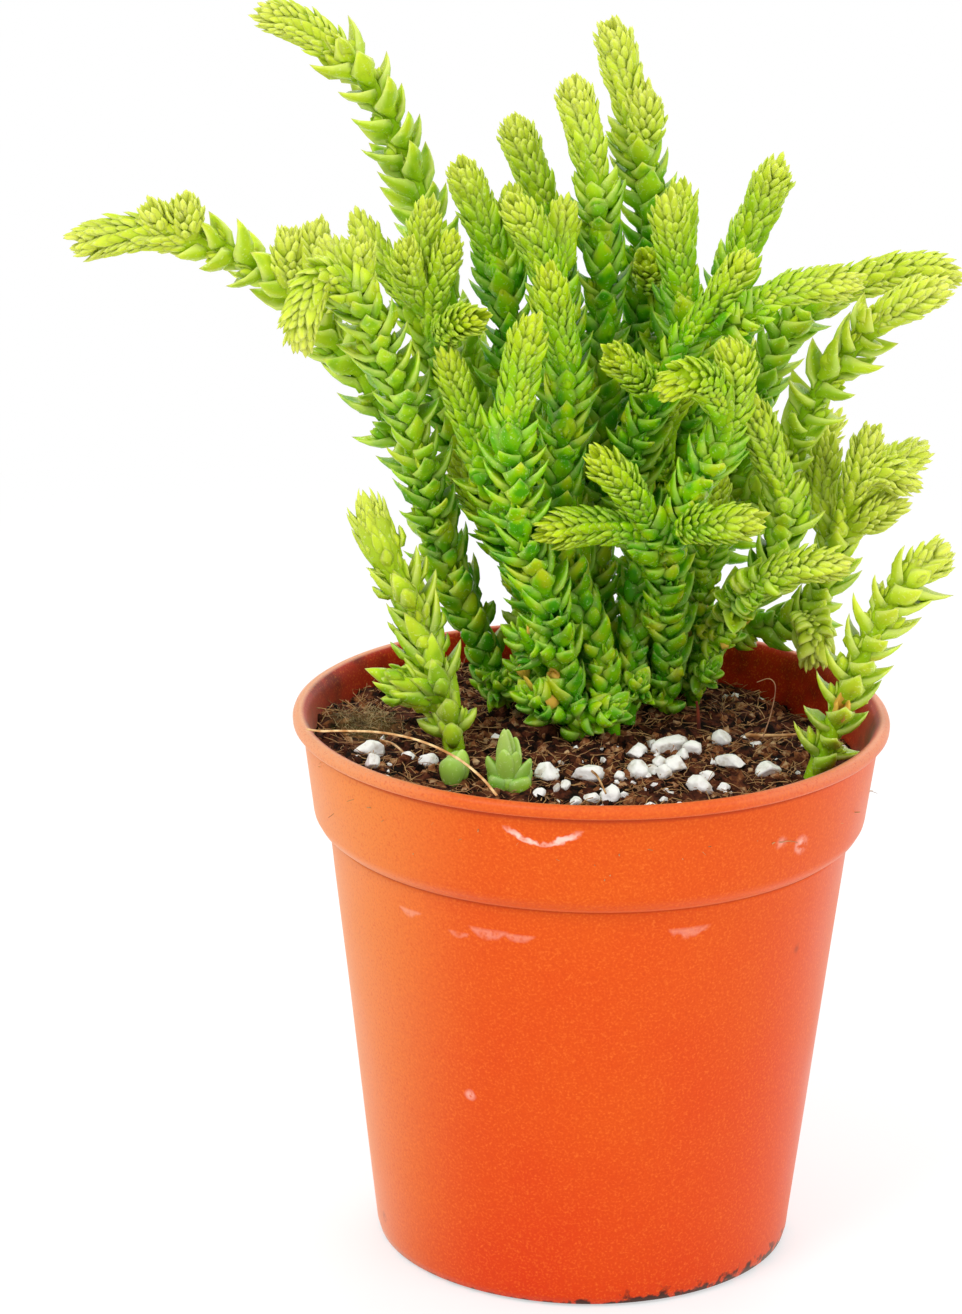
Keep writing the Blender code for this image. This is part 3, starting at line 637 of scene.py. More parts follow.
def stemTree(forms, fringes, buds, material):
    tree, start, names = openTree("leafy stem", leafSizes)
    kinds = {"heading": "FLOAT_VECTOR", "outward": "FLOAT_VECTOR", "away": "FLOAT_VECTOR",
             "form": "INT", "leafy": "BOOLEAN"}
    read = {key: addNode(tree, "GeometryNodeInputNamedAttribute", {"Name": key},
                         data_type=kinds.get(key, "FLOAT"))
            for key in (*kinds, "fromTip", "opened", "size", "core", "fringe")}
    sizes = start.outputs
    stem, seed = sizes["Geometry"], sizes["Seed"]
    points = addNode(tree, "GeometryNodeMeshToPoints", {"Mesh": stem, "Selection": read["leafy"]})
    pairs = addNode(tree, "GeometryNodeDuplicateElements", {"Geometry": points, "Amount": 2}, domain="POINT")
    flip = addNode(tree, "ShaderNodeMath", [pairs.outputs["Duplicate Index"], -2.0, 1.0],
                   operation="MULTIPLY_ADD")
    away = addNode(tree, "ShaderNodeVectorMath", {0: read["outward"], "Scale": flip}, operation="SCALE")
    # the facing of each leaf is kept, because moving and duplicating would lose it
    faced = addNode(tree, "GeometryNodeStoreNamedAttribute", {
        "Geometry": pairs, "Name": "away", "Value": away}, data_type="FLOAT_VECTOR")
    upright = addNode(tree, "FunctionNodeAxesToRotation", [read["heading"], read["away"]],
                      primary_axis="Z", secondary_axis="X")
    lean, looseness, closing = (addNode(tree, "ShaderNodeMapRange", ends) for ends in (
        [read["opened"], 0.0, 1.0, sizes["Tip Lean"], sizes["Open Lean"]],
        [read["opened"], 0.0, 1.0, sizes["Young Jitter"], sizes["Open Jitter"]],
        [read["fromTip"], 0.5, sizes["Apex Length"], sizes["Apex Lean"], 0.0]))
    jitter = addNode(tree, "FunctionNodeRandomValue", {0: (-1, -1, -1), 1: (1, 1, 1), "Seed": seed},
                     data_type="FLOAT_VECTOR")
    shaken = addNode(tree, "ShaderNodeVectorMath", {0: jitter, "Scale": looseness}, operation="SCALE")
    leaning = addNode(tree, "ShaderNodeMath", [lean, closing], operation="ADD")
    leaned = addNode(tree, "ShaderNodeCombineXYZ", {1: leaning})
    angles = addNode(tree, "ShaderNodeVectorMath", [shaken, leaned], operation="ADD")
    radians = addNode(tree, "ShaderNodeVectorMath", {0: angles, "Scale": math.pi / 180}, operation="SCALE")
    tilt = addNode(tree, "FunctionNodeEulerToRotation", [radians])
    facing = addNode(tree, "FunctionNodeRotateRotation", [upright, tilt], rotation_space="LOCAL")
    least, most = (addNode(tree, "ShaderNodeMath", [1.0, sizes["Size Jitter"]], operation=way)
                   for way in ("SUBTRACT", "ADD"))
    grown = addNode(tree, "FunctionNodeRandomValue", {2: least, 3: most, "Seed": seed}, data_type="FLOAT")
    sized = addNode(tree, "ShaderNodeMath", [read["size"], grown], operation="MULTIPLY")
    shape = addNode(tree, "ShaderNodeCombineXYZ", [sizes[key] for key in ("Leaf Length", "Leaf Width",
                                                                          "Leaf Length")])
    scale = addNode(tree, "ShaderNodeVectorMath", {0: shape, "Scale": sized}, operation="SCALE")
    outwards = []
    for key in ("Seat Depth", "Fringe Depth"):
        depth = addNode(tree, "ShaderNodeMath", [read["core"], sizes[key]], operation="MULTIPLY")
        real = addNode(tree, "ShaderNodeMath", [depth, mm], operation="MULTIPLY")
        outwards.append(addNode(tree, "ShaderNodeVectorMath", {0: read["away"], "Scale": real},
                                operation="SCALE"))
    seated = addNode(tree, "GeometryNodeSetPosition", {"Geometry": faced, "Offset": outwards[0]})

    # buds sit in the crooks of some open leaves
    chance = addNode(tree, "FunctionNodeRandomValue", {"Probability": sizes["Bud Share"], "Seed": seed},
                     data_type="BOOLEAN")
    openOnly = addNode(tree, "FunctionNodeCompare", [read["opened"], crook["openFrom"]], data_type="FLOAT",
                       operation="GREATER_THAN")
    chosen = addNode(tree, "FunctionNodeBooleanMath", [chance, openOnly], operation="AND")
    steps = [addNode(tree, "ShaderNodeVectorMath", {0: read[way], "Scale": crook[key] * mm},
                     operation="SCALE") for way, key in (("away", "out"), ("heading", "up"))]
    lifted = addNode(tree, "ShaderNodeVectorMath", steps, operation="ADD")
    budSeats = addNode(tree, "GeometryNodeSetPosition", {"Geometry": seated, "Offset": lifted})
    budTilt = addNode(tree, "FunctionNodeEulerToRotation", [(0.0, math.radians(crook["tilt"]), 0.0)])
    budFacing = addNode(tree, "FunctionNodeRotateRotation", [facing, budTilt], rotation_space="LOCAL")
    budGrowth = addNode(tree, "FunctionNodeRandomValue", {
        2: crook["size"][0], 3: crook["size"][1], "Seed": seed}, data_type="FLOAT")
    budScale = addNode(tree, "ShaderNodeVectorMath", {0: scale, "Scale": budGrowth}, operation="SCALE")

    # two narrow leaves on each side of the pair give the young tips their fringe
    bushy = addNode(tree, "FunctionNodeCompare", [read["fringe"], fringe["least"]], data_type="FLOAT",
                    operation="GREATER_THAN")
    fringed = addNode(tree, "GeometryNodeDuplicateElements", {
        "Geometry": points, "Selection": bushy, "Amount": 4}, domain="POINT")
    index = fringed.outputs["Duplicate Index"]
    half = addNode(tree, "ShaderNodeMath", [index, 0.5], operation="MULTIPLY")
    side = addNode(tree, "ShaderNodeMath", [half], operation="FLOOR")
    odd = addNode(tree, "ShaderNodeMath", [index, 2.0], operation="MODULO")
    handed = addNode(tree, "ShaderNodeMath", [odd, 2.0, -1.0], operation="MULTIPLY_ADD")
    wobble = addNode(tree, "FunctionNodeRandomValue", {
        2: -fringe["wobble"], 3: fringe["wobble"], "Seed": seed}, data_type="FLOAT")
    beside = addNode(tree, "ShaderNodeMath", [handed, sizes["Fringe Angle"], wobble],
                     operation="MULTIPLY_ADD")
    around = addNode(tree, "ShaderNodeMath", [side, 180.0, beside], operation="MULTIPLY_ADD")
    bearing = addNode(tree, "ShaderNodeMath", [around, math.pi / 180], operation="MULTIPLY")
    fringeAway = addNode(tree, "ShaderNodeVectorRotate", {
        "Vector": read["outward"], "Axis": read["heading"], "Angle": bearing})
    fringeFaced = addNode(tree, "GeometryNodeStoreNamedAttribute", {
        "Geometry": fringed, "Name": "away", "Value": fringeAway}, data_type="FLOAT_VECTOR")
    rise = addNode(tree, "FunctionNodeRandomValue", {
        2: fringe["rise"][0] * mm, 3: fringe["rise"][1] * mm, "Seed": seed}, data_type="FLOAT")
    fringeUp = addNode(tree, "ShaderNodeVectorMath", {0: read["heading"], "Scale": rise}, operation="SCALE")
    fringeMove = addNode(tree, "ShaderNodeVectorMath", [outwards[1], fringeUp], operation="ADD")
    fringeSeats = addNode(tree, "GeometryNodeSetPosition", {"Geometry": fringeFaced, "Offset": fringeMove})
    fringeSize = addNode(tree, "ShaderNodeMath", [sized, read["fringe"]], operation="MULTIPLY")
    fringeLong = addNode(tree, "ShaderNodeMath", [fringeSize, sizes["Leaf Length"]], operation="MULTIPLY")
    fringeScale = addNode(tree, "ShaderNodeCombineXYZ", [fringeLong, sized, fringeLong])

    leaves = []
    for kept, links in (
            (forms, {"Points": seated, "Instance Index": read["form"], "Rotation": facing, "Scale": scale}),
            (buds, {"Points": budSeats, "Selection": chosen, "Rotation": budFacing, "Scale": budScale}),
            (fringes, {"Points": fringeSeats, "Rotation": facing, "Scale": fringeScale})):
        info = addNode(tree, "GeometryNodeCollectionInfo", {
            "Collection": kept, "Separate Children": True, "Reset Children": True})
        leaves.append(addNode(tree, "GeometryNodeInstanceOnPoints", {
            "Instance": info, "Pick Instance": True, **links}))
    together = addNode(tree, "GeometryNodeJoinGeometry", [leaves])
    tint = addNode(tree, "FunctionNodeRandomValue", {2: 0.0, 3: 1.0, "Seed": seed}, data_type="FLOAT")
    tinted = addNode(tree, "GeometryNodeStoreNamedAttribute", {
        "Geometry": together, "Name": "tint", "Value": tint}, data_type="FLOAT", domain="INSTANCE")
    # the juicy stem itself is mostly hidden by its leaves
    tube = tubeOn(tree, stem, read["core"])
    closeTree(tree, addNode(tree, "GeometryNodeJoinGeometry", [[tinted, tube]]), material)
    return tree, names


# the leaf's colours by distance from the stem's tip, in mm: painted light, a shaded copy for leaves inside the
# plant and a paler lit copy for leaves out in the light
leafLook = {
    "deep": ((0.0, "#C6D41E"), (1.8, "#B6CC18"), (5.0, "#9CC40A"), (11.0, "#94CA06"), (22.0, "#90CE06"),
             (45.0, "#88C404")),
    "pale": ((0.0, "#D8DE62"), (2.0, "#CCD848"), (5.0, "#C6D83A"), (11.0, "#CCDC36"), (22.0, "#CAE03A"),
             (45.0, "#BCD836")),
    "ageSpan": 45.0,
    "deepFoot": "#58A806", "paleFoot": "#98C408",       # the inner half of each leaf holds more green, partly its own colour and partly painted shade between the leaves
    "shade": "#58AC0E",       # painted shade on leaves low down among the others
    "shadeFoot": 50.0,        # mm above the table
    "shadeTop": 78.0,
    "emerald": "#2A9214", "yellow": "#CCD420",
    "patch": 2.6,             # mm across the yellower and greener patches
    "drift": 9.0,             # mm across the wider drifts of shade
    "speck": "#E6F0B4",       # painted glints, which also stand for waxy dots on the skin
    "edge": "#E8F092",        # thin leaf margins let light through
    "withered": "#E6B44C",
    "dryTop": 70.0, "dryFoot": 60.0,        # mm above the table between which more leaves have dried
    "tipBrown": "#A8863C",
    "cellSize": 0.35,         # mm between the skin's bumps, drawn coarser than life
}


def leafSkin(name, look):
    # succulent leaf: waxy skin over wet tissue, so a soft gloss, light that bleeds through the thin parts
    made, tree, shader = newMaterial(name, Roughness=0.26, IOR=1.42, Specular_IOR_Level=0.14,
                                     Subsurface_Weight=0.3, Subsurface_Radius=(0.9, 1.0, 0.3),
                                     Subsurface_Scale=0.0005)
    age, paintedLight, reach, margin, tint = (
        addNode(tree, "ShaderNodeAttribute", attribute_name=key).outputs["Fac"]
        for key in ("age", "pale", "reach", "margin", "tint"))
    place = addNode(tree, "ShaderNodeTexCoord").outputs["Object"]
    height = addNode(tree, "ShaderNodeSeparateXYZ", [place]).outputs["Z"]
    cloud, patch, cells = (addNode(tree, "ShaderNodeTexNoise", {
        "Vector": place, "Scale": 1 / (look[size] * mm), "Detail": detail})
        for size, detail in (("drift", 1.0), ("patch", 1.5), ("cellSize", 2.0)))
    # more of the lowest leaves have dried
    dryness = addNode(tree, "ShaderNodeMapRange", [height, look["dryTop"] * mm, look["dryFoot"] * mm,
                                                   -0.012, 0.018])
    dried = addNode(tree, "ShaderNodeMath", [tint, dryness], operation="ADD")
    # what each share follows, from where to where, and the share at the two ends
    spans = {
        "old": (age, 4.0, 15.0, 0.0, 1.0), "firm": (age, 1.0, 9.0, 0.3, 1.0),
        # the inside and clear shares follow the painted light
        "inside": (paintedLight, 0.0, 1.0, 1.0, 0.3), "clear": (paintedLight, 0.0, 1.0, 0.28, 0.55),
        # the low and drifts shares paint shade low down among the leaves
        "low": (height, look["shadeTop"] * mm, look["shadeFoot"] * mm, 0.0, 0.28),
        "drifts": (cloud, 0.35, 0.65, 0.3, 1.0),
        "greener": (patch, 0.5, 0.62, 0.0, 0.8), "yellower": (patch, 0.47, 0.34, 0.0, 0.75),
        # the specks share paints glints on the skin
        "specks": (cells, 0.6, 0.72, 0.0, 0.32), "gloss": (cells, 0.3, 0.7, 0.14, 0.3),
        # the inner share greens each leaf's foot: its own colour, and painted shade between the leaves
        "inner": (reach, 0.1, 0.75, 0.6, 0.0), "point": (reach, 0.86, 1.0, 0.0, 0.35),
        "thin": (margin, 0.45, 1.0, 0.0, 1.0),
        "dry": (dried, 0.985, 0.99, 0.0, 1.0), "value": (tint, 0.0, 1.0, 0.87, 1.12),
    }
    span = {key: addNode(tree, "ShaderNodeMapRange", ends) for key, ends in spans.items()}
    # yellow at the tip to green further down, with painted light making leaves out in the light paler, each
    # leaf a little different
    along = addNode(tree, "ShaderNodeMath", [age, look["ageSpan"]], operation="DIVIDE")
    deep, pale = (addNode(tree, "ShaderNodeValToRGB", [along], stops=[
        (at / look["ageSpan"], shade) for at, shade in look[key]]) for key in ("deep", "pale"))
    body = addNode(tree, "ShaderNodeMix", {0: paintedLight, 6: deep, 7: pale}, data_type="RGBA")
    body = addNode(tree, "ShaderNodeHueSaturation", {"Value": span["value"], "Color": body})
    foot = addNode(tree, "ShaderNodeMix", {0: paintedLight, 6: colour(look["deepFoot"]),
                                           7: colour(look["paleFoot"])}, data_type="RGBA")
    # painted shade low down, emerald and yellow patches, green foot that is partly painted shade between
    # leaves, pale margin, painted glints that stand for dots of wax too, dried leaves and brown points, one
    # over the other
    layers = (("shade", "low", "drifts", "old", "inside"), ("emerald", "greener", "old", "inside"),
              ("yellow", "yellower", "old", "inside"), (foot, "inner", "firm"), ("edge", "thin", "clear"),
              ("speck", "specks"), ("withered", "dry", "old"), ("tipBrown", "point", "old"))
    for shade, *parts in layers:
        share = span[parts[0]]
        for part in parts[1:]:
            share = addNode(tree, "ShaderNodeMath", [share, span[part]], operation="MULTIPLY")
        shade = colour(look[shade]) if isinstance(shade, str) else shade
        body = addNode(tree, "ShaderNodeMix", {0: share, 6: body, 7: shade}, data_type="RGBA")
    bump = addNode(tree, "ShaderNodeBump", {"Strength": 0.45, "Distance": 0.08 * mm, "Height": cells})
    wire(tree, shader, {"Base Color": body, "Roughness": span["gloss"], "Normal": bump})
    return made


# short shoots among the feet of the stems, each a route in mm
lowShoots = {
    "front_centre_stem": [[(-3.2, 0.3, 55.5), (-5, -1, 56.3), (-6.4, -2, 58.6)],
                          [(-1.5, 1, 55), (0.8, -0.8, 55.6), (3, -1.8, 57)],
                          [(-3.4, 0, 62), (-6, -1.6, 63), (-7.2, -2.4, 65.4)]],
    "low_right_stem": [[(10.8, 12.4, 61), (12.8, 9.4, 60.6), (14.4, 8, 62.4)],
                       [(10.6, 13, 57), (11.4, 9.6, 56.6), (12.6, 7.8, 58.4)]],
    "right_front_stem": [[(4, 6.6, 57), (4.4, 4, 56.8), (4.8, 2.8, 58.6)],
                         [(4.6, 8.6, 64.5), (6.4, 5.4, 65), (7, 4.2, 67)]],
    "low_left_stem": [[(-4, 4.4, 57.5), (-6, 3, 58), (-7.4, 2.4, 60.4)]],
    "drooping_left_stem": [[(-9.4, 9.8, 56.5), (-9.2, 6.6, 56), (-8.8, 5.4, 57.4)]],
}
lowHabit = {"tight": 0.8, "loosening": 2.0, "footGap": 0.4, "older": 12.0, "lumpy": 26.0, "apex": 0.8}
# mm at the foot of a side shoot without leaves, by how far the shoot reaches
sideGaps = {"longFrom": 7.0, "long": 2.2, "short": 0.6}

draw = random.Random(11)
leafGreen = leafSkin("living succulent leaf", leafLook)
forms = gather("leaf forms", [leafForm(name, *sizes) for name, sizes in leafForms.items()])
fringes = gather("fringe forms", [fringeForm(name, *sizes) for name, sizes in fringeForms.items()])
buds = gather("bud forms", [budForm(name, *sizes) for name, sizes in budForms.items()])
stemGrowth, stemNames = stemTree(forms, fringes, buds, leafGreen)
leafCount = []
for name, (girth, routes) in stemRoutes.items():
    ways = stemWays.get(name, ())
    runs = []
    for k, route in enumerate(routes):
        way = {**stemHabit, **(ways[k] if k < len(ways) else {})}
        if k == 0:
            x, y = route[0]
            route = [(x, y, soilHeight(x, y))] + route[1:]
        else:
            reached = math.dist(route[0], route[-1])
            way["footGap"] = sideGaps["long" if reached > sideGaps["longFrom"] else "short"]
        runs.append(seatsOn(route, girth, way, k == 0, draw))
    for route in lowShoots.get(name, ()):
        runs.append(seatsOn(route, girth * 0.9, {**stemHabit, **lowHabit}, False, draw))
    sizes = {**leafSizes, **stemLeans.get(name, {}), "Seed": len(name) * 7 + round(girth * 10)}
    stem = grow(name[:-5] + "_leafy", seatMesh(name, runs), stemGrowth, stemNames, sizes)
    stem.data.polygons.foreach_set("use_smooth", [True] * len(stem.data.polygons))
    declare(stem, "leaf_green", name)
    leafCount.append(len(stem.data.polygons))
    print(stem.name, "pairs", sum(len(run) - 2 for run in runs), "faces", len(stem.data.polygons))
for kept in (forms, fringes, buds):
    discard(kept)
print("faces on all stems", sum(leafCount))

# moulded nursery pot, in mm
pot = {
    "outside": [(0, 0), (18.5, 0), (20.3, 0), (21.0, 0.35), (21.25, 1.2), (26.2, 43.6), (26.24, 43.85),
                (26.18, 43.98), (26.3, 44.1), (26.7, 44.3), (27.35, 44.8), (27.75, 45.5), (27.85, 45.9),
                (28.96, 54.0), (29.0, 54.3), (28.98, 54.5), (29.1, 54.62), (29.75, 54.72), (29.97, 55.0),
                (30.0, 55.4), (29.88, 55.75), (29.55, 55.97), (29.2, 56.0)],
    "creases": (43.98, 54.3, 54.5),     # heights in the two sharp inner corners, where a line of painted shade is drawn
    "inside": [(28.8, 55.85), (28.4, 55.2), (28.1, 54.3), (26.8, 45.7), (25.6, 44.9), (20.5, 1.9),
               (20.0, 1.25), (18.5, 1.2), (0, 1.2)],
    "around": 160,            # faces round the pot
    "up": 1.5,                # mm between rings on the walls
    "outOfTrue": 0.07,        # mm that thin walls wander
    "drains": 6, "drainCircle": 15.0, "drainRadius": 1.8,
}
potLook = {
    "orange": "#D44A00", "redder": "#D03600", "lighter": "#D85A04",
    # the inner wall is darker than the outside: painted shade inside the pot, with stains
    "inner": "#B4240C", "innerDeep": "#6A1004",
    # the crease colour is a line of painted shade in the sharp corners
    "lime": "#F6CFC0", "dirt": "#2E1C14", "rust": "#8E2A12", "grime": "#A83208",
    "bleached": "#E08C3E",    # painted light: the side towards the key light is paler
    "paintedLitSideFrom": -9.0, "paintedLitSideFull": -27.0,    # mm across the pot
    # painted highlight, with some wear, on the lip's left and right ends
    "rim": "#DEAE90",
    "rimFrom": 54.6, "rimFull": 55.7,               # mm up, where the lip is paler with painted highlight and some wear
    "lipEndsFrom": 13.0, "lipEndsFull": 27.0,             # mm from the middle, over which the lip's left and right ends turn paler
    "pale": "#EA7624", "deep": "#C83A00",           # the pigment's own fine mottling
    "mottle": 0.25,           # mm
    "cloud": 14.0,            # mm across the cloudiness of the pigment
    "blotch": 5.0,            # mm across the blotches on the inner wall, painted shade with stains
    "grain": 0.45,            # mm between the pits of the moulded skin, drawn coarser than life
}
# marks on the wall: place in mm, reach in mm, thickness of a ring (0 for a blot), colour and strength
potMarks = [
    ((-4.4, -28.3, 57.0), 5.2, 0.42, "lime", 0.85),
    ((20.5, -19.3, 48.9), 1.3, 0.0, "lime", 0.7), ((18.6, -21.4, 49.8), 0.9, 0.0, "lime", 0.5),
    ((-17.3, -19.3, 42.6), 1.5, 0.6, "lime", 0.2), ((-9.6, -24.3, 43.0), 2.2, 0.8, "lime", 0.22),
    ((-6.6, -25.2, 42.4), 1.6, 0.6, "lime", 0.2), ((-12.4, -22.7, 41.4), 1.2, 0.5, "lime", 0.16),
    ((9.9, -24.2, 43.6), 2.2, 0.8, "lime", 0.22), ((-11.2, -20.9, 22.6), 0.8, 0.0, "lime", 0.8),
    ((20.8, -14.6, 36.3), 0.8, 0.0, "rust", 0.8), ((-20.2, -7.3, 3.2), 0.9, 0.0, "rust", 0.8),
]
# how dried drops look: mm their edge is ragged, mm it adds to their reach, and the arc that stays of a ring,
# as shares of its reach below the middle
dropEdge = {"ragged": 1.2, "wider": 0.6, "arcFrom": 0.7, "arcFull": 0.88, "soft": 0.35}
footBandShape = {"from": -8.0, "full": 8.0, "high": 2.6, "ragged": 1.1}     # mm across the pot, up it, and in size


def turned(name, profile, around, marks, wander):
    # a shape turned about Z; the profile starts and ends on the axis
    points = [(0, 0, profile[0][1])]
    for radius, z in profile[1:-1]:
        for k in range(around):
            turn = 2 * math.pi * k / around
            spread = radius + wander(radius, turn, z)
            points.append((spread * math.cos(turn), spread * math.sin(turn), z))
    points.append((0, 0, profile[-1][1]))
    return meshObject(name, points, turnedFaces(around, len(profile) - 2), marks=marks)


def finer(profile, step):
    # the profile with more points along its long straight parts
    longer = [profile[0]]
    for (ra, za), (rb, zb) in zip(profile, profile[1:]):
        count = max(1, round(abs(zb - za) / step))
        longer += [(ra + (rb - ra) * k / count, za + (zb - za) * k / count) for k in range(1, count + 1)]
    return longer


def dropMark(tree, place, height, ragged, mark):
    # how strongly one dried drop shows: a blot, or the lower arc of a ring, where a drop hung and dried
    centre, reach, ring, _, strength = mark
    away = addNode(tree, "ShaderNodeVectorMath", [place, Vector(centre) * mm], operation="DISTANCE")
    bent = addNode(tree, "ShaderNodeMath", [ragged, dropEdge["ragged"] * mm, away], operation="MULTIPLY_ADD")
    edge = ring or reach + dropEdge["wider"]
    if ring:
        off = addNode(tree, "ShaderNodeMath", [bent, (reach + dropEdge["wider"]) * mm], operation="SUBTRACT")
        bent = addNode(tree, "ShaderNodeMath", [off], operation="ABSOLUTE")
        arc = addNode(tree, "ShaderNodeMapRange", [height, (centre[2] - dropEdge["arcFrom"] * reach) * mm,
                                                   (centre[2] - dropEdge["arcFull"] * reach) * mm])
    mask = addNode(tree, "ShaderNodeMapRange", [bent, edge * mm, dropEdge["soft"] * edge * mm, 0.0, strength],
                   interpolation_type="SMOOTHSTEP")
    broken = addNode(tree, "ShaderNodeMapRange", [ragged, 0.32, 0.5])
    part = addNode(tree, "ShaderNodeMath", [mask, broken], operation="MULTIPLY")
    return addNode(tree, "ShaderNodeMath", [part, arc], operation="MULTIPLY") if ring else part


def plastic(name, look):
    # injection-moulded polypropylene: saturated orange that pales towards grazing light, with limescale where
    # water dried
    made, tree, shader = newMaterial(name, Roughness=0.38, IOR=1.49, Specular_IOR_Level=0.16,
                                     Sheen_Weight=0.3, Sheen_Roughness=0.35, Sheen_Tint=colour("#FFDCC0"))
    place = addNode(tree, "ShaderNodeTexCoord").outputs["Object"]
    within, crease = (addNode(tree, "ShaderNodeAttribute", attribute_name=key).outputs["Fac"]
                      for key in ("within", "crease"))
    across, _, height = addNode(tree, "ShaderNodeSeparateXYZ", [place]).outputs
    cloud, blotch, speck, ragged, torn, grain = (addNode(tree, "ShaderNodeTexNoise", {
        "Vector": place, "Scale": 1 / (size * mm), "Detail": detail}) for size, detail in (
        (look["cloud"], 3.0), (look["blotch"], 3.0), (look["mottle"], 1.0), (dropEdge["ragged"], 3.0),
        (footBandShape["ragged"], 4.0), (look["grain"], 1.0)))
    aside = addNode(tree, "ShaderNodeMath", [across], operation="ABSOLUTE")
    # what each share follows, from where to where, and the share at the two ends
    spans = {
        "up": (height, 0.0, 56 * mm, 0.1, 0.75), "cloudy": (cloud, 0.3, 0.7, -0.15, 0.15),
        # the lip's left and right ends turn paler: painted highlight, with some wear
        "lip": (height, look["rimFrom"] * mm, look["rimFull"] * mm, 0.0, 0.5),
        "lipEnds": (aside, look["lipEndsFrom"] * mm, look["lipEndsFull"] * mm, 0.12, 1.0),
        "weaker": (speck, 0.52, 0.8, 0.0, 0.5), "stronger": (speck, 0.48, 0.2, 0.0, 0.5),
        # painted shade line in the creases
        "paintedCreaseShadeShare": (crease, 0.0, 1.0, 0.0, 0.7), "rough": (cloud, 0.3, 0.7, 0.32, 0.46),
        "rise": (torn, 0.35, 0.72, 0.1 * mm, footBandShape["high"] * mm),
        "towardsRight": (across, footBandShape["from"] * mm, footBandShape["full"] * mm, 0.25, 1.0),
    }
    span = {key: addNode(tree, "ShaderNodeMapRange", ends) for key, ends in spans.items()}
    # painted light: the side towards the key light is paler
    paintedLitSideShare = addNode(tree, "ShaderNodeMapRange", [
        across, look["paintedLitSideFrom"] * mm, look["paintedLitSideFull"] * mm, 0.0, 0.75],
        interpolation_type="SMOOTHSTEP")
    share = addNode(tree, "ShaderNodeMath", [span["up"], span["cloudy"]], operation="ADD")
    outer = addNode(tree, "ShaderNodeValToRGB", [share],
                    stops=[(0.0, look["redder"]), (0.45, look["orange"]), (1.0, look["lighter"])])
    inner = addNode(tree, "ShaderNodeValToRGB", [blotch],
                    stops=[(0.35, look["innerDeep"]), (0.55, look["inner"])])
    # painted highlight, with some wear, on the lip's left and right ends
    lipSheenAndWear = addNode(tree, "ShaderNodeMath", [span["lip"], span["lipEnds"]], operation="MULTIPLY")
    # a ragged dark band at the foot, reaching higher towards the right
    reached = addNode(tree, "ShaderNodeMath", [span["rise"], span["towardsRight"]], operation="MULTIPLY")
    low = addNode(tree, "ShaderNodeMath", [height, reached], operation="DIVIDE")
    footBandShare = addNode(tree, "ShaderNodeMapRange", [low, 1.0, 0.55, 0.0, 0.95])
    # one over the other: painted light paling one side, the lip's ends with painted highlight and some wear,
    # the inner wall's painted shade and stains, specks of weaker and stronger pigment, painted shade in the
    # corners, dried drops, a dark band at the foot
    layers = [(paintedLitSideShare, "bleached"), (lipSheenAndWear, "rim"), (within, inner), (span["weaker"], "pale"),
              (span["stronger"], "deep"), (span["paintedCreaseShadeShare"], "grime")]
    layers += [(dropMark(tree, place, height, ragged, mark), mark[3]) for mark in potMarks]
    body = outer
    for share, shade in layers + [(footBandShare, "dirt")]:
        shade = colour(look[shade]) if isinstance(shade, str) else shade
        body = addNode(tree, "ShaderNodeMix", {0: share, 6: body, 7: shade}, data_type="RGBA")
    bump = addNode(tree, "ShaderNodeBump", {"Strength": 0.18, "Distance": 0.03 * mm, "Height": grain})
    wire(tree, shader, {"Base Color": body, "Roughness": span["rough"], "Normal": bump})
    return made


def makePot():
    outside, inside = finer(pot["outside"], pot["up"]), finer(pot["inside"], pot["up"])
    profile = outside + inside
    within, crease = [], []
    for k, (radius, z) in enumerate(profile):
        copies = 1 if k in (0, len(profile) - 1) else pot["around"]
        outer = k < len(outside)
        inCrease = outer and min(abs(z - c) for c in pot["creases"]) < 0.01
        within += [0.0 if outer else 1.0] * copies
        crease += [1.0 if inCrease else 0.0] * copies

    def wander(radius, turn, z):
        spot = Vector((math.cos(turn) * 1.6, math.sin(turn) * 1.6, z / 16))
        return pot["outOfTrue"] * noise.noise(spot) * min(1.0, radius / 20) * min(1.0, z / 3)

    made = turned("orange_pot", profile, pot["around"], {"within": within, "crease": crease}, wander)
    made.data.materials.append(plastic("moulded orange polypropylene", potLook))
    for k in range(pot["drains"]):
        turn = 2 * math.pi * (k + 0.5) / pot["drains"]
        spot = (pot["drainCircle"] * math.cos(turn) * mm, pot["drainCircle"] * math.sin(turn) * mm, 0.6 * mm)
        bpy.ops.mesh.primitive_cylinder_add(vertices=32, radius=pot["drainRadius"] * mm, depth=4 * mm,
                                            location=spot)
        cutter = bpy.context.object
        cut = made.modifiers.new("drain", "BOOLEAN")
        cut.object, cut.operation, cut.solver = cutter, "DIFFERENCE", "EXACT"
        graph = bpy.context.evaluated_depsgraph_get()
        mesh = bpy.data.meshes.new_from_object(made.evaluated_get(graph))
        made.modifiers.remove(cut)
        made.data = mesh
        bpy.data.objects.remove(cutter)
    made.data.name = made.name
    declare(made, "orange_plastic", "pot")


makePot()
print("pot made")


def innerWall(z):
    # inside radius of the collar at a height
    (top, topZ), (foot, footZ) = pot["inside"][2:4]
    return foot + (top - foot) * (z - footZ) / (topZ - footZ)


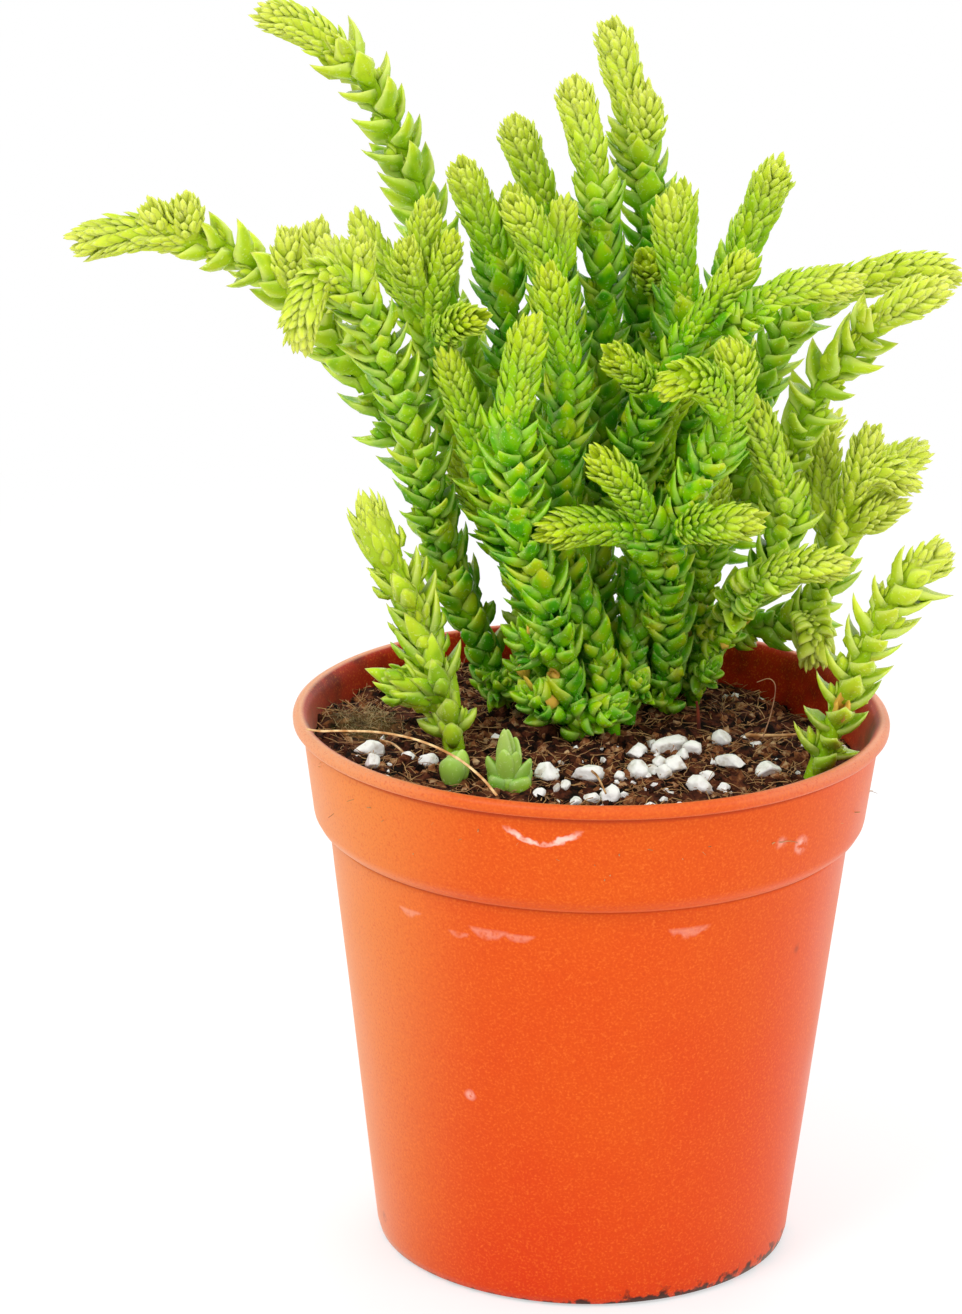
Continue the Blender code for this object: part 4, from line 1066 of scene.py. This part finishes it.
peatLook = {
    "dark": "#120905", "brown": "#52291A", "warm": "#8C5834", "pale": "#C4A47C", "moss": "#7A6636",
    "lump": 1.3,              # mm across the colour patches
    "fibre": 0.3,
}
soilShape = {
    "around": 168, "rings": 62,
    "wall": 27.0, "gap": 0.06,                          # inside radius of the pot there, and mm left to it
    "heaps": ((5.5, 0.9), (2.2, 0.75), (0.9, 0.4)),     # mm across, mm high
    "below": [(0, 1.5), (19.2, 1.5), (20.1, 2.6), (25.2, 45.2), (26.2, 46.1)],
    "moss": (-22.8, 3.2), "mossReach": 2.9,             # place of the cushion, and mm over which it thins
    "perlite": (6, -8), "perliteReach": 12,             # where the finest perlite lies
}
# what is strewn on the soil: how thick it lies and how large, in mm
crumbs = {"Density": 1.5e6, "Smallest": 0.25, "Largest": 1.3, "Sink": 0.2, "Seed": 3}
finePerlite = {"Density": 2.0e5, "Smallest": 0.4, "Largest": 1.15, "Sink": 0.05, "Seed": 5}
fibres = {"Density": 8e5, "Smallest": 0.6, "Largest": 1.6, "Sink": -0.2, "Seed": 8}
mossHairs = {"Density": 1.6e7, "Smallest": 0.35, "Largest": 0.95, "Sink": -0.5, "Seed": 4}


def peat(name, look):
    # peat and bark compost, damp: matt, nearly black in the hollows, with rusty bits of bark
    made, tree, shader = newMaterial(name, Roughness=0.92, IOR=1.4, Specular_IOR_Level=0.15)
    place = addNode(tree, "ShaderNodeTexCoord").outputs["Object"]
    tint, moss = (addNode(tree, "ShaderNodeAttribute", attribute_name=key).outputs["Fac"]
                  for key in ("tint", "moss"))
    lumps = addNode(tree, "ShaderNodeTexNoise", {
        "Vector": place, "Scale": 1 / (look["lump"] * mm), "Detail": 5.0, "Roughness": 0.65})
    mixed = addNode(tree, "ShaderNodeMath", [tint, 0.42, lumps], operation="MULTIPLY_ADD")
    shades = addNode(tree, "ShaderNodeValToRGB", [mixed], stops=[
        (0.41, look["dark"]), (0.58, look["brown"]), (0.76, look["warm"]), (0.92, look["pale"])])
    mossy = addNode(tree, "ShaderNodeMix", {0: moss, 6: shades, 7: colour(look["moss"])}, data_type="RGBA")
    fine = addNode(tree, "ShaderNodeTexNoise", {
        "Vector": place, "Scale": 1 / (look["fibre"] * mm), "Detail": 3.0})
    bump = addNode(tree, "ShaderNodeBump", {"Strength": 0.8, "Distance": 0.15 * mm, "Height": fine})
    wire(tree, shader, {"Base Color": mossy, "Normal": bump})
    return made


def driedStalk(name, dark, light):
    # dried stalk or root: straw-coloured, dull, with darker streaks along it
    made, tree, shader = newMaterial(name, Roughness=0.62, IOR=1.45)
    place = addNode(tree, "ShaderNodeTexCoord").outputs["Object"]
    streak = addNode(tree, "ShaderNodeTexNoise", {"Vector": place, "Scale": 1 / (1.5 * mm), "Detail": 3.0})
    shades = addNode(tree, "ShaderNodeValToRGB", [streak], stops=[(0.35, dark), (0.6, light)])
    bump = addNode(tree, "ShaderNodeBump", {"Strength": 0.3, "Distance": 0.03 * mm, "Height": streak})
    wire(tree, shader, {"Base Color": shades, "Normal": bump})
    return made


def perliteGlass(name):
    # expanded volcanic glass: chalk white foam, matt, greyer where dust lies in its pores
    made, tree, shader = newMaterial(name, Roughness=0.85, IOR=1.5)
    place = addNode(tree, "ShaderNodeTexCoord").outputs["Object"]
    pores = addNode(tree, "ShaderNodeTexVoronoi", {"Vector": place, "Scale": 1 / (0.45 * mm)})
    dust = addNode(tree, "ShaderNodeTexNoise", {"Vector": place, "Scale": 1 / (1.1 * mm), "Detail": 3.0})
    shades = addNode(tree, "ShaderNodeValToRGB", [dust],
                     stops=[(0.3, "#CFC6B8"), (0.45, "#F4F2EE"), (0.7, "#FAF9F6")])
    bump = addNode(tree, "ShaderNodeBump", {"Strength": 0.6, "Distance": 0.12 * mm, "Height": pores})
    wire(tree, shader, {"Base Color": shades, "Normal": bump})
    return made


def lumpForm(name, rough, seed):
    # a broken lump about 1 mm across
    bm = bmesh.new()
    bmesh.ops.create_icosphere(bm, subdivisions=1, radius=0.5)
    for v in bm.verts:
        v.co *= 1 + rough * noise.noise(v.co * 3.1 + Vector((seed, 0, 0)))
        v.co.z *= 0.8
    points, sides = [tuple(v.co) for v in bm.verts], [[v.index for v in f.verts] for f in bm.faces]
    bm.free()
    return meshObject(name, points, sides, smooth=False)


def fibreForm(name, seed):
    # a bent root fibre about 2 mm long
    rng = random.Random(seed)
    line, turn = [Vector((-1.1, 0, 0))], 0.0
    for k in range(5):
        turn += rng.uniform(-0.55, 0.55)
        line.append(line[-1] + Vector((math.cos(turn), math.sin(turn), rng.uniform(-0.25, 0.3))) * 0.42)
    points, faces = [], []
    for k, spot in enumerate(line):
        thick = 0.045 * (1 - 0.1 * k)
        points += [spot + Vector(v) * thick for v in ((0, 1, 0), (0, -0.5, 0.87), (0, -0.5, -0.87))]
    for low in range(0, len(points) - 3, 3):
        faces += [(low + j, low + (j + 1) % 3, low + 3 + (j + 1) % 3, low + 3 + j) for j in range(3)]
    faces += [(2, 1, 0), (len(points) - 3, len(points) - 2, len(points) - 1)]
    return meshObject(name, points, faces)


def scatterTree(name, shapes, material, keep, flat):
    # bits strewn on a surface where its "share" attribute allows, each tipped up to flat radians
    tree, start, names = openTree(name, crumbs)
    sizes = start.outputs
    seed = sizes["Seed"]
    share = addNode(tree, "GeometryNodeInputNamedAttribute", {"Name": "share"}, data_type="FLOAT")
    spots = addNode(tree, "GeometryNodeDistributePointsOnFaces", {
        "Mesh": sizes["Geometry"], "Density Max": sizes["Density"], "Density Factor": share,
        "Distance Min": 0.1 * mm, "Seed": seed}, distribute_method="POISSON")
    spin = addNode(tree, "FunctionNodeRandomValue", {0: (-flat, -flat, 0.0), 1: (flat, flat, 2 * math.pi),
                                                     "Seed": seed}, data_type="FLOAT_VECTOR")
    size = addNode(tree, "FunctionNodeRandomValue", {2: sizes["Smallest"], 3: sizes["Largest"], "Seed": seed},
                   data_type="FLOAT")
    down = addNode(tree, "ShaderNodeMath", [sizes["Sink"], -mm], operation="MULTIPLY")
    sink = addNode(tree, "ShaderNodeCombineXYZ", {2: down})
    sunk = addNode(tree, "GeometryNodeSetPosition", {"Geometry": spots, "Offset": sink})
    info = addNode(tree, "GeometryNodeCollectionInfo", {
        "Collection": shapes, "Separate Children": True, "Reset Children": True})
    turn = addNode(tree, "FunctionNodeEulerToRotation", [spin])
    bits = addNode(tree, "GeometryNodeInstanceOnPoints", {
        "Points": sunk, "Instance": info, "Pick Instance": True, "Rotation": turn, "Scale": size})
    tint = addNode(tree, "FunctionNodeRandomValue", {2: -0.35, 3: 0.75, "Seed": 21}, data_type="FLOAT")
    tinted = addNode(tree, "GeometryNodeStoreNamedAttribute", {
        "Geometry": bits, "Name": "tint", "Value": tint}, data_type="FLOAT", domain="INSTANCE")
    everything = addNode(tree, "GeometryNodeJoinGeometry", [[tinted, sizes["Geometry"]] if keep else tinted])
    closeTree(tree, everything, material)
    return tree, names


def groundAt(x, y):
    # the rough surface: the even one with heaps and hollows, rising to the wall
    spot = Vector((x, y, 0.0))
    rise = sum(tall * noise.noise(spot / across + Vector((across, 4.2, 0)))
               for across, tall in soilShape["heaps"])
    return soilHeight(x, y) + rise


def makeGround():
    # the hidden flanks of the soil, then rings on its rough top; share and moss tell what is strewn where
    below, rings, around = soilShape["below"], soilShape["rings"], soilShape["around"]
    points = [(0, 0, below[0][1])]
    for radius, z in below[1:]:
        for k in range(around):
            turn = 2 * math.pi * k / around
            points.append((radius * math.cos(turn), radius * math.sin(turn), z))
    share = [0.0] * len(points)
    moss = share.copy()
    for ring in range(rings):
        for k in range(around):
            turn = 2 * math.pi * (k + 0.5 * (ring % 2)) / around
            level = soilHeight(soilShape["wall"] * math.cos(turn), soilShape["wall"] * math.sin(turn))
            edge = innerWall(level) - soilShape["gap"]
            radius = edge * (1 - ring / rings)
            x, y = radius * math.cos(turn), radius * math.sin(turn)
            points.append((x, y, groundAt(x, y)))
            share.append(1.0)
            away = math.hypot(x - soilShape["moss"][0], y - soilShape["moss"][1])
            moss.append(between(1.5 - away / soilShape["mossReach"]) * 0.5)
    points.append((0, 0, groundAt(0, 0)))
    faces = turnedFaces(around, len(below) - 1 + rings)
    return meshObject("ground", points, faces, marks={"share": share + [1.0], "moss": moss + [0.0]})


def makeSoil():
    ground = makeGround()
    bare = ground.data.copy()
    lumps = gather("lumps", [lumpForm("lump%d" % k, 0.9, k * 5.1) for k in range(5)])
    tree, names = scatterTree("strewn crumbs", lumps, peat("damp peat compost", peatLook), True, 1.6)
    made = grow("peat_compost", ground, tree, names, crumbs)
    declare(made, "peat_soil", "soil")
    discard(lumps)
    print("soil faces", len(made.data.polygons))

    # fine perlite lies mostly towards the front right, and the cushion of half-dry moss against the wall
    scattered = []
    for v in bare.vertices:
        x, y = v.co.x / mm - soilShape["perlite"][0], v.co.y / mm - soilShape["perlite"][1]
        scattered.append(0.06 + 0.94 * max(0.0, 1 - math.hypot(x, y) / soilShape["perliteReach"]))
    even = [entry.value for entry in bare.attributes["share"].data]
    mossy = [entry.value for entry in bare.attributes["moss"].data]
    scattered = [low * high for low, high in zip(even, scattered)]
    threads = gather("threads", [fibreForm("thread%d" % k, 40 + k) for k in range(5)])
    bits = gather("bits", [lumpForm("bit%d" % k, 0.8, 60 + k * 3.3) for k in range(4)])
    rootSkin = driedStalk("dried root fibre", "#8A5A34", "#C79A62")
    mossSkin = driedStalk("half-dry cushion moss", "#54421E", "#B8A272")
    for name, shapes, skin, flat, share, sizes, slotName in (
            ("root_fibres", threads, rootSkin, 0.5, even, fibres, "peat_soil"),
            ("moss_cushion", threads, mossSkin, 1.2, mossy, mossHairs, "peat_soil"),
            ("fine_perlite", bits, perliteSkin, 1.6, scattered, finePerlite, "perlite")):
        bed = placed(name, bare.copy())
        bed.data.attributes["share"].data.foreach_set("value", share)
        tree, names = scatterTree("strewn " + name, shapes, skin, False, flat)
        declare(grow(name, bed, tree, names, sizes), slotName)
    discard(threads)
    discard(bits)


# perlite: place on the soil, long, wide, tall in mm, turn in degrees
grains = [
    ((7.8, -0.3), 4.0, 1.8, 1.8, 35), ((4.6, -2.8), 2.2, 1.9, 1.6, 40), ((10.3, -1.0), 2.0, 1.6, 1.4, 10),
    ((8.6, -5.3), 2.2, 1.8, 1.5, 20), ((4.7, -7.0), 2.4, 2.0, 1.7, 150), ((7.4, -8.0), 2.0, 1.7, 1.5, 100),
    ((10.8, -9.8), 3.0, 2.0, 1.8, 165), ((14.2, -2.8), 3.2, 1.7, 1.5, 150), ((13.3, 3.6), 2.2, 1.7, 1.7, 120),
    ((17.8, -4.0), 2.6, 1.8, 1.6, 30), ((-4.2, -10.6), 2.2, 2.0, 1.9, 20), ((-0.3, -8.6), 3.0, 2.0, 1.7, 10),
    ((1.8, -13.2), 2.4, 2.0, 1.8, 60), ((-22.0, -5.0), 2.8, 1.9, 1.7, 15),
    ((-21.5, -11.5), 2.0, 1.4, 1.6, 80), ((-20.0, -13.6), 1.3, 1.0, 0.9, 10),
    ((-18.0, -7.5), 1.5, 1.2, 1.0, 140), ((-16.0, -7.2), 2.0, 1.6, 1.4, 30),
    ((-5.0, -14.8), 1.5, 1.0, 0.9, 45), ((-1.4, -15.5), 1.6, 1.1, 1.0, 70), ((0.2, -14.0), 1.5, 1.2, 1.1, 10),
    ((6.0, -6.0), 1.5, 1.3, 1.0, 0), ((7.0, -4.6), 1.7, 1.4, 1.1, 65), ((9.2, -3.1), 1.6, 1.3, 1.2, 130),
    ((16.7, 4.9), 1.4, 1.1, 1.0, 20), ((6.0, -14.8), 1.8, 1.2, 1.0, 15), ((9.0, -14.7), 1.6, 1.2, 1.0, 100),
    ((6.2, 1.2), 1.6, 1.2, 1.0, 70), ((11.6, -6.6), 1.5, 1.2, 1.0, 20), ((3.0, -9.6), 1.4, 1.1, 1.0, 50),
    ((-2.4, -12.4), 1.3, 1.0, 0.9, 110), ((13.2, -8.0), 1.3, 1.0, 0.9, 15),
]
solidGrains = 14              # the first ones, which the solids have too
perliteSkin = perliteGlass("expanded perlite")


def makeGrains():
    # broken lumps: flat faces with blunt edges, slightly blistered
    points, faces = [], []
    for count, ((x, y), long, wide, tall, turn) in enumerate(grains):
        bm = bmesh.new()
        bmesh.ops.create_icosphere(bm, subdivisions=3, radius=0.5)
        first = len(points)
        cos, sin = math.cos(math.radians(turn)), math.sin(math.radians(turn))
        shift = Vector((count * 1.7, y, 0))
        ground = groundAt(x, y)
        rng = random.Random(count)
        cuts = []
        for k in range(9):
            way = Vector((rng.uniform(-1, 1), rng.uniform(-1, 1), rng.uniform(-1, 1))).normalized()
            cuts.append((way, rng.uniform(0.27, 0.42)))
        for v in bm.verts:
            p = v.co.copy()
            for way, far in cuts:
                p -= max(0.0, p.dot(way) - far) * way
            p *= 1.1 + 0.12 * noise.noise(v.co * 5 + shift)
            px, py = p.x * long * 1.05, p.y * wide * 1.05
            z = ground + 0.32 * tall + p.z * tall * 1.1
            points.append((x + px * cos - py * sin, y + px * sin + py * cos, z))
        faces += [[first + v.index for v in f.verts] for f in bm.faces]
        bm.free()
    made = meshObject("perlite", points, faces)
    made.data.materials.append(perliteSkin)
    declare(made, "perlite", *["perlite_grain_%d" % k for k in range(1, solidGrains + 1)])


makeSoil()
makeGrains()
print("soil and perlite made")

# dried stalks: route in mm, thickness at the two ends, colours, slot and CAD node
stalks = {
    "arched_straw": ([(-28.0, -9.6, 56.5), (-26.5, -11.3, 56.9), (-24.5, -13.2, 57.6), (-20.4, -17, 58.8),
                      (-16.4, -20.8, 59.3), (-12.9, -24.2, 58.9), (-10.4, -26.6, 57.8), (-8.8, -28.2, 56.5)],
                     0.11, 0.13, "#B87A3A", "#F0CC92", "dry_straw", "long_straw"),
    "lying_straw": ([(15.8, 5.3, 51.75), (19, 4, 52.2), (22, 2.8, 52.9)],
                    0.2, 0.14, "#A36A34", "#DDB27C", "dry_straw", "short_straw"),
    "red_twig": ([(11, 5.2, 52.4), (10.9, 5, 54), (10.7, 4.8, 55.4)],
                 0.22, 0.14, "#4A1A0E", "#7E3218", "reddish_twig", "reddish_twig"),
    "front_straw": ([(0.2, -9.3, 52.6), (0.8, -12, 52.9), (1.6, -14.8, 52.2)],
                    0.13, 0.1, "#A36A34", "#D9AE78", "dry_straw", None),
    "thin_root": ([(17.4, 2, 52.6), (18.2, 3, 54.9), (18.6, 4, 57.3), (18, 5, 57.9), (16.8, 6, 57.2)],
                  0.07, 0.05, "#7A4A30", "#B88A66", "dry_straw", None),
    "left_straw": ([(-21, -3.4, 53.4), (-19.6, -5.2, 53.6), (-18.0, -7.4, 53.0)],
                   0.13, 0.1, "#A36A34", "#E2BC8A", "dry_straw", None),
}


def stalkTree(material):
    # a round stalk that thins along its route
    tree, start, names = openTree("dried stalk", {"Start": 0.2, "End": 0.1})
    along = addNode(tree, "GeometryNodeSplineParameter").outputs["Factor"]
    sizes = start.outputs
    thick = addNode(tree, "ShaderNodeMapRange", [along, 0.0, 1.0, sizes["Start"], sizes["End"]])
    closeTree(tree, tubeOn(tree, sizes["Geometry"], thick), material)
    return tree, names


for name, (route, foot, end, dark, light, slotName, node) in stalks.items():
    line = lineThrough([Vector(p) for p in route])[0]
    line = line[::3] + ([line[-1]] if (len(line) - 1) % 3 else [])
    mesh = bpy.data.meshes.new(name)
    mesh.from_pydata([p * mm for p in line], [(k, k + 1) for k in range(len(line) - 1)], [])
    tree, names = stalkTree(driedStalk("dried stalk " + name, dark, light))
    stalk = grow(name, placed(name, mesh), tree, names, {"Start": foot, "End": end})
    declare(stalk, slotName, *([node] if node else []))
print("stalks made")

# rosettes on the soil: place, then each leaf's turn round it and lean in degrees, length, width and thickness
# in mm and how sharply it ends
offsets = {
    "fat_leaved_offset": ((-8.0, -12.5), [
        (222, 62, 2.7, 3.1, 2.7, 0.0), (322, 66, 3.0, 3.4, 2.9, 0.0), (20, 56, 3.0, 3.2, 2.6, 0.1),
        (150, 58, 2.8, 3.0, 2.4, 0.1), (268, 60, 2.2, 2.4, 2.2, 0.0), (185, 40, 3.7, 2.8, 2.0, 0.3),
        (345, 42, 3.8, 2.6, 2.0, 0.4), (255, 26, 4.4, 2.6, 1.9, 0.4), (305, 24, 3.9, 2.3, 1.7, 0.5),
        (60, 20, 4.6, 2.5, 1.8, 0.5), (225, 9, 5.7, 2.5, 1.8, 0.5), (100, 12, 5.3, 2.3, 1.7, 0.6)]),
    "little_bud": ((-13.3, -11.5), [
        (255, 34, 2.7, 3.3, 3.0, 0.0), (75, 34, 2.6, 3.1, 2.8, 0.0), (330, 20, 2.9, 2.4, 2.2, 0.1)]),
}
offsetLook = {
    **leafLook,
    "deep": ((0.0, "#C8D888"), (3.0, "#ACCE58"), (8.0, "#7CB830"), (20.0, "#4A9A22")),
    "deepFoot": "#5EA42C", "shadeFoot": 40.0, "shadeTop": 55.0, "edge": "#CFE0A8",
}


def makeOffsets():
    skin = leafSkin("plump grey-green leaf", offsetLook)
    for name, ((x, y), leaves) in offsets.items():
        pieces = []
        for k, (turn, lean, long, wide, thick, sharp) in enumerate(leaves):
            leaf = leafForm("leaf", long, wide, thick, lean + 12, lean - 16, sharp)
            count = len(leaf.data.vertices)
            addMark(leaf.data, "age", [1.5 + 5.0 * lean / 60] * count)
            addMark(leaf.data, "tint", [(k * 0.37) % 0.9] * count)
            foot = Vector((x, y, soilHeight(x, y) + 0.2 + (60 - lean) / 60 * 0.8)) * mm
            leaf.data.transform(Matrix.Translation(foot) @ Matrix.Rotation(math.radians(turn), 4, "Z"))
            pieces.append(leaf)
        with bpy.context.temp_override(active_object=pieces[0], selected_editable_objects=pieces):
            bpy.ops.object.join()
        made = pieces[0]
        made.name = made.data.name = name.replace("_", "-")
        made.data.materials.append(skin)
        finish = made.modifiers.new("round", "SUBSURF")
        finish.levels = finish.render_levels = 2
        graph = bpy.context.evaluated_depsgraph_get()
        made.data = bpy.data.meshes.new_from_object(made.evaluated_get(graph))
        made.modifiers.clear()
        declare(made, "offset_leaf", name)


makeOffsets()
print("offsets made")

# floor, light and camera, in metres
studio = {
    "floorReach": 6.0,
    "brightFrom": 0.04, "brightFull": 0.3,      # from the pot, between which the paper turns wholly bright
    "brightNear": 0.55,                         # how bright it is by itself near the pot
    "lamps": {"key": ((-0.32, -0.42, 0.62), 0.3, 2.2), "fill": ((0.5, -0.35, 0.35), 0.5, 1.0),
              "back": ((0.1, 0.5, 0.5), 0.5, 1.6)},     # place, size and watts
    "aim": (0, 0, 0.07),
    "skyStrength": 0.88,
}
cameraView = {
    "place": (0, -0.45498, 0.206164), "aim": (-0.011119, 0, 0.061254), "roll": 0.6254, "lens": 130.558,
}


def seenWhite(tree):
    # 1 where the camera, a gloss or a clear thing looks, 0 for light that falls on the object
    path = addNode(tree, "ShaderNodeLightPath").outputs
    first = addNode(tree, "ShaderNodeMath", [path["Is Camera Ray"], path["Is Glossy Ray"]],
                    operation="MAXIMUM")
    return addNode(tree, "ShaderNodeMath", [first, path["Is Transmission Ray"]], operation="MAXIMUM")


def makeStudio():
    world = bpy.data.worlds.new("white studio")
    bpy.context.scene.world = world
    world.use_nodes = True
    tree = world.node_tree
    strength = addNode(tree, "ShaderNodeMapRange", [seenWhite(tree), 0.0, 1.0, studio["skyStrength"], 1.0])
    wire(tree, tree.nodes["Background"], {"Color": (1, 1, 1, 1), "Strength": strength})

    # white paper sweep: glows enough to meet the white behind it and still takes the pot's shadow
    paper = bpy.data.materials.new("white paper floor")
    paper.use_nodes = True
    tree = paper.node_tree
    tree.nodes.clear()
    matt = addNode(tree, "ShaderNodeBsdfDiffuse", {"Color": (0.97, 0.97, 0.97, 1)})
    glow = addNode(tree, "ShaderNodeEmission", {"Color": (1, 1, 1, 1), "Strength": 1.0})
    # further from the pot the paper is only bright, so it has no edge or horizon
    place = addNode(tree, "ShaderNodeTexCoord").outputs["Object"]
    away = addNode(tree, "ShaderNodeVectorMath", [place], operation="LENGTH")
    bright = addNode(tree, "ShaderNodeMapRange", [away, studio["brightFrom"], studio["brightFull"],
                                                  studio["brightNear"], 1.0], interpolation_type="SMOOTHSTEP")
    share = addNode(tree, "ShaderNodeMath", [seenWhite(tree), bright], operation="MULTIPLY")
    mixed = addNode(tree, "ShaderNodeMixShader", [share, matt, glow])
    addNode(tree, "ShaderNodeOutputMaterial", {"Surface": mixed})
    reach = studio["floorReach"] / mm
    corners = [(-reach, -reach, 0), (reach, -reach, 0), (reach, reach, 0), (-reach, reach, 0)]
    floor = meshObject("paper_floor", corners, [(0, 1, 2, 3)])
    floor.data.materials.append(paper)

    for name, (spot, size, power) in studio["lamps"].items():
        lamp = bpy.data.lights.new(name, "AREA")
        lamp.shape, lamp.size, lamp.energy = "DISK", size, power
        holder = placed(name, lamp)
        holder.location = spot
        holder.rotation_euler = (Vector(studio["aim"]) - holder.location).to_track_quat("-Z", "Y").to_euler()


def makeCamera():
    data = bpy.data.cameras.new("camera")
    data.lens = cameraView["lens"]
    camera = placed("camera", data)
    camera.location = cameraView["place"]
    forward = (Vector(cameraView["aim"]) - camera.location).normalized()
    level = forward.cross(Vector((0, 0, 1))).normalized()
    rolled = Matrix.Rotation(math.radians(-cameraView["roll"]), 3, forward) @ level
    camera.rotation_euler = Matrix((rolled, rolled.cross(forward), -forward)).transposed().to_euler()
    bpy.context.scene.camera = camera


makeStudio()
makeCamera()
bpy.context.scene.view_settings.view_transform = "Standard"
print("studio and camera ready")
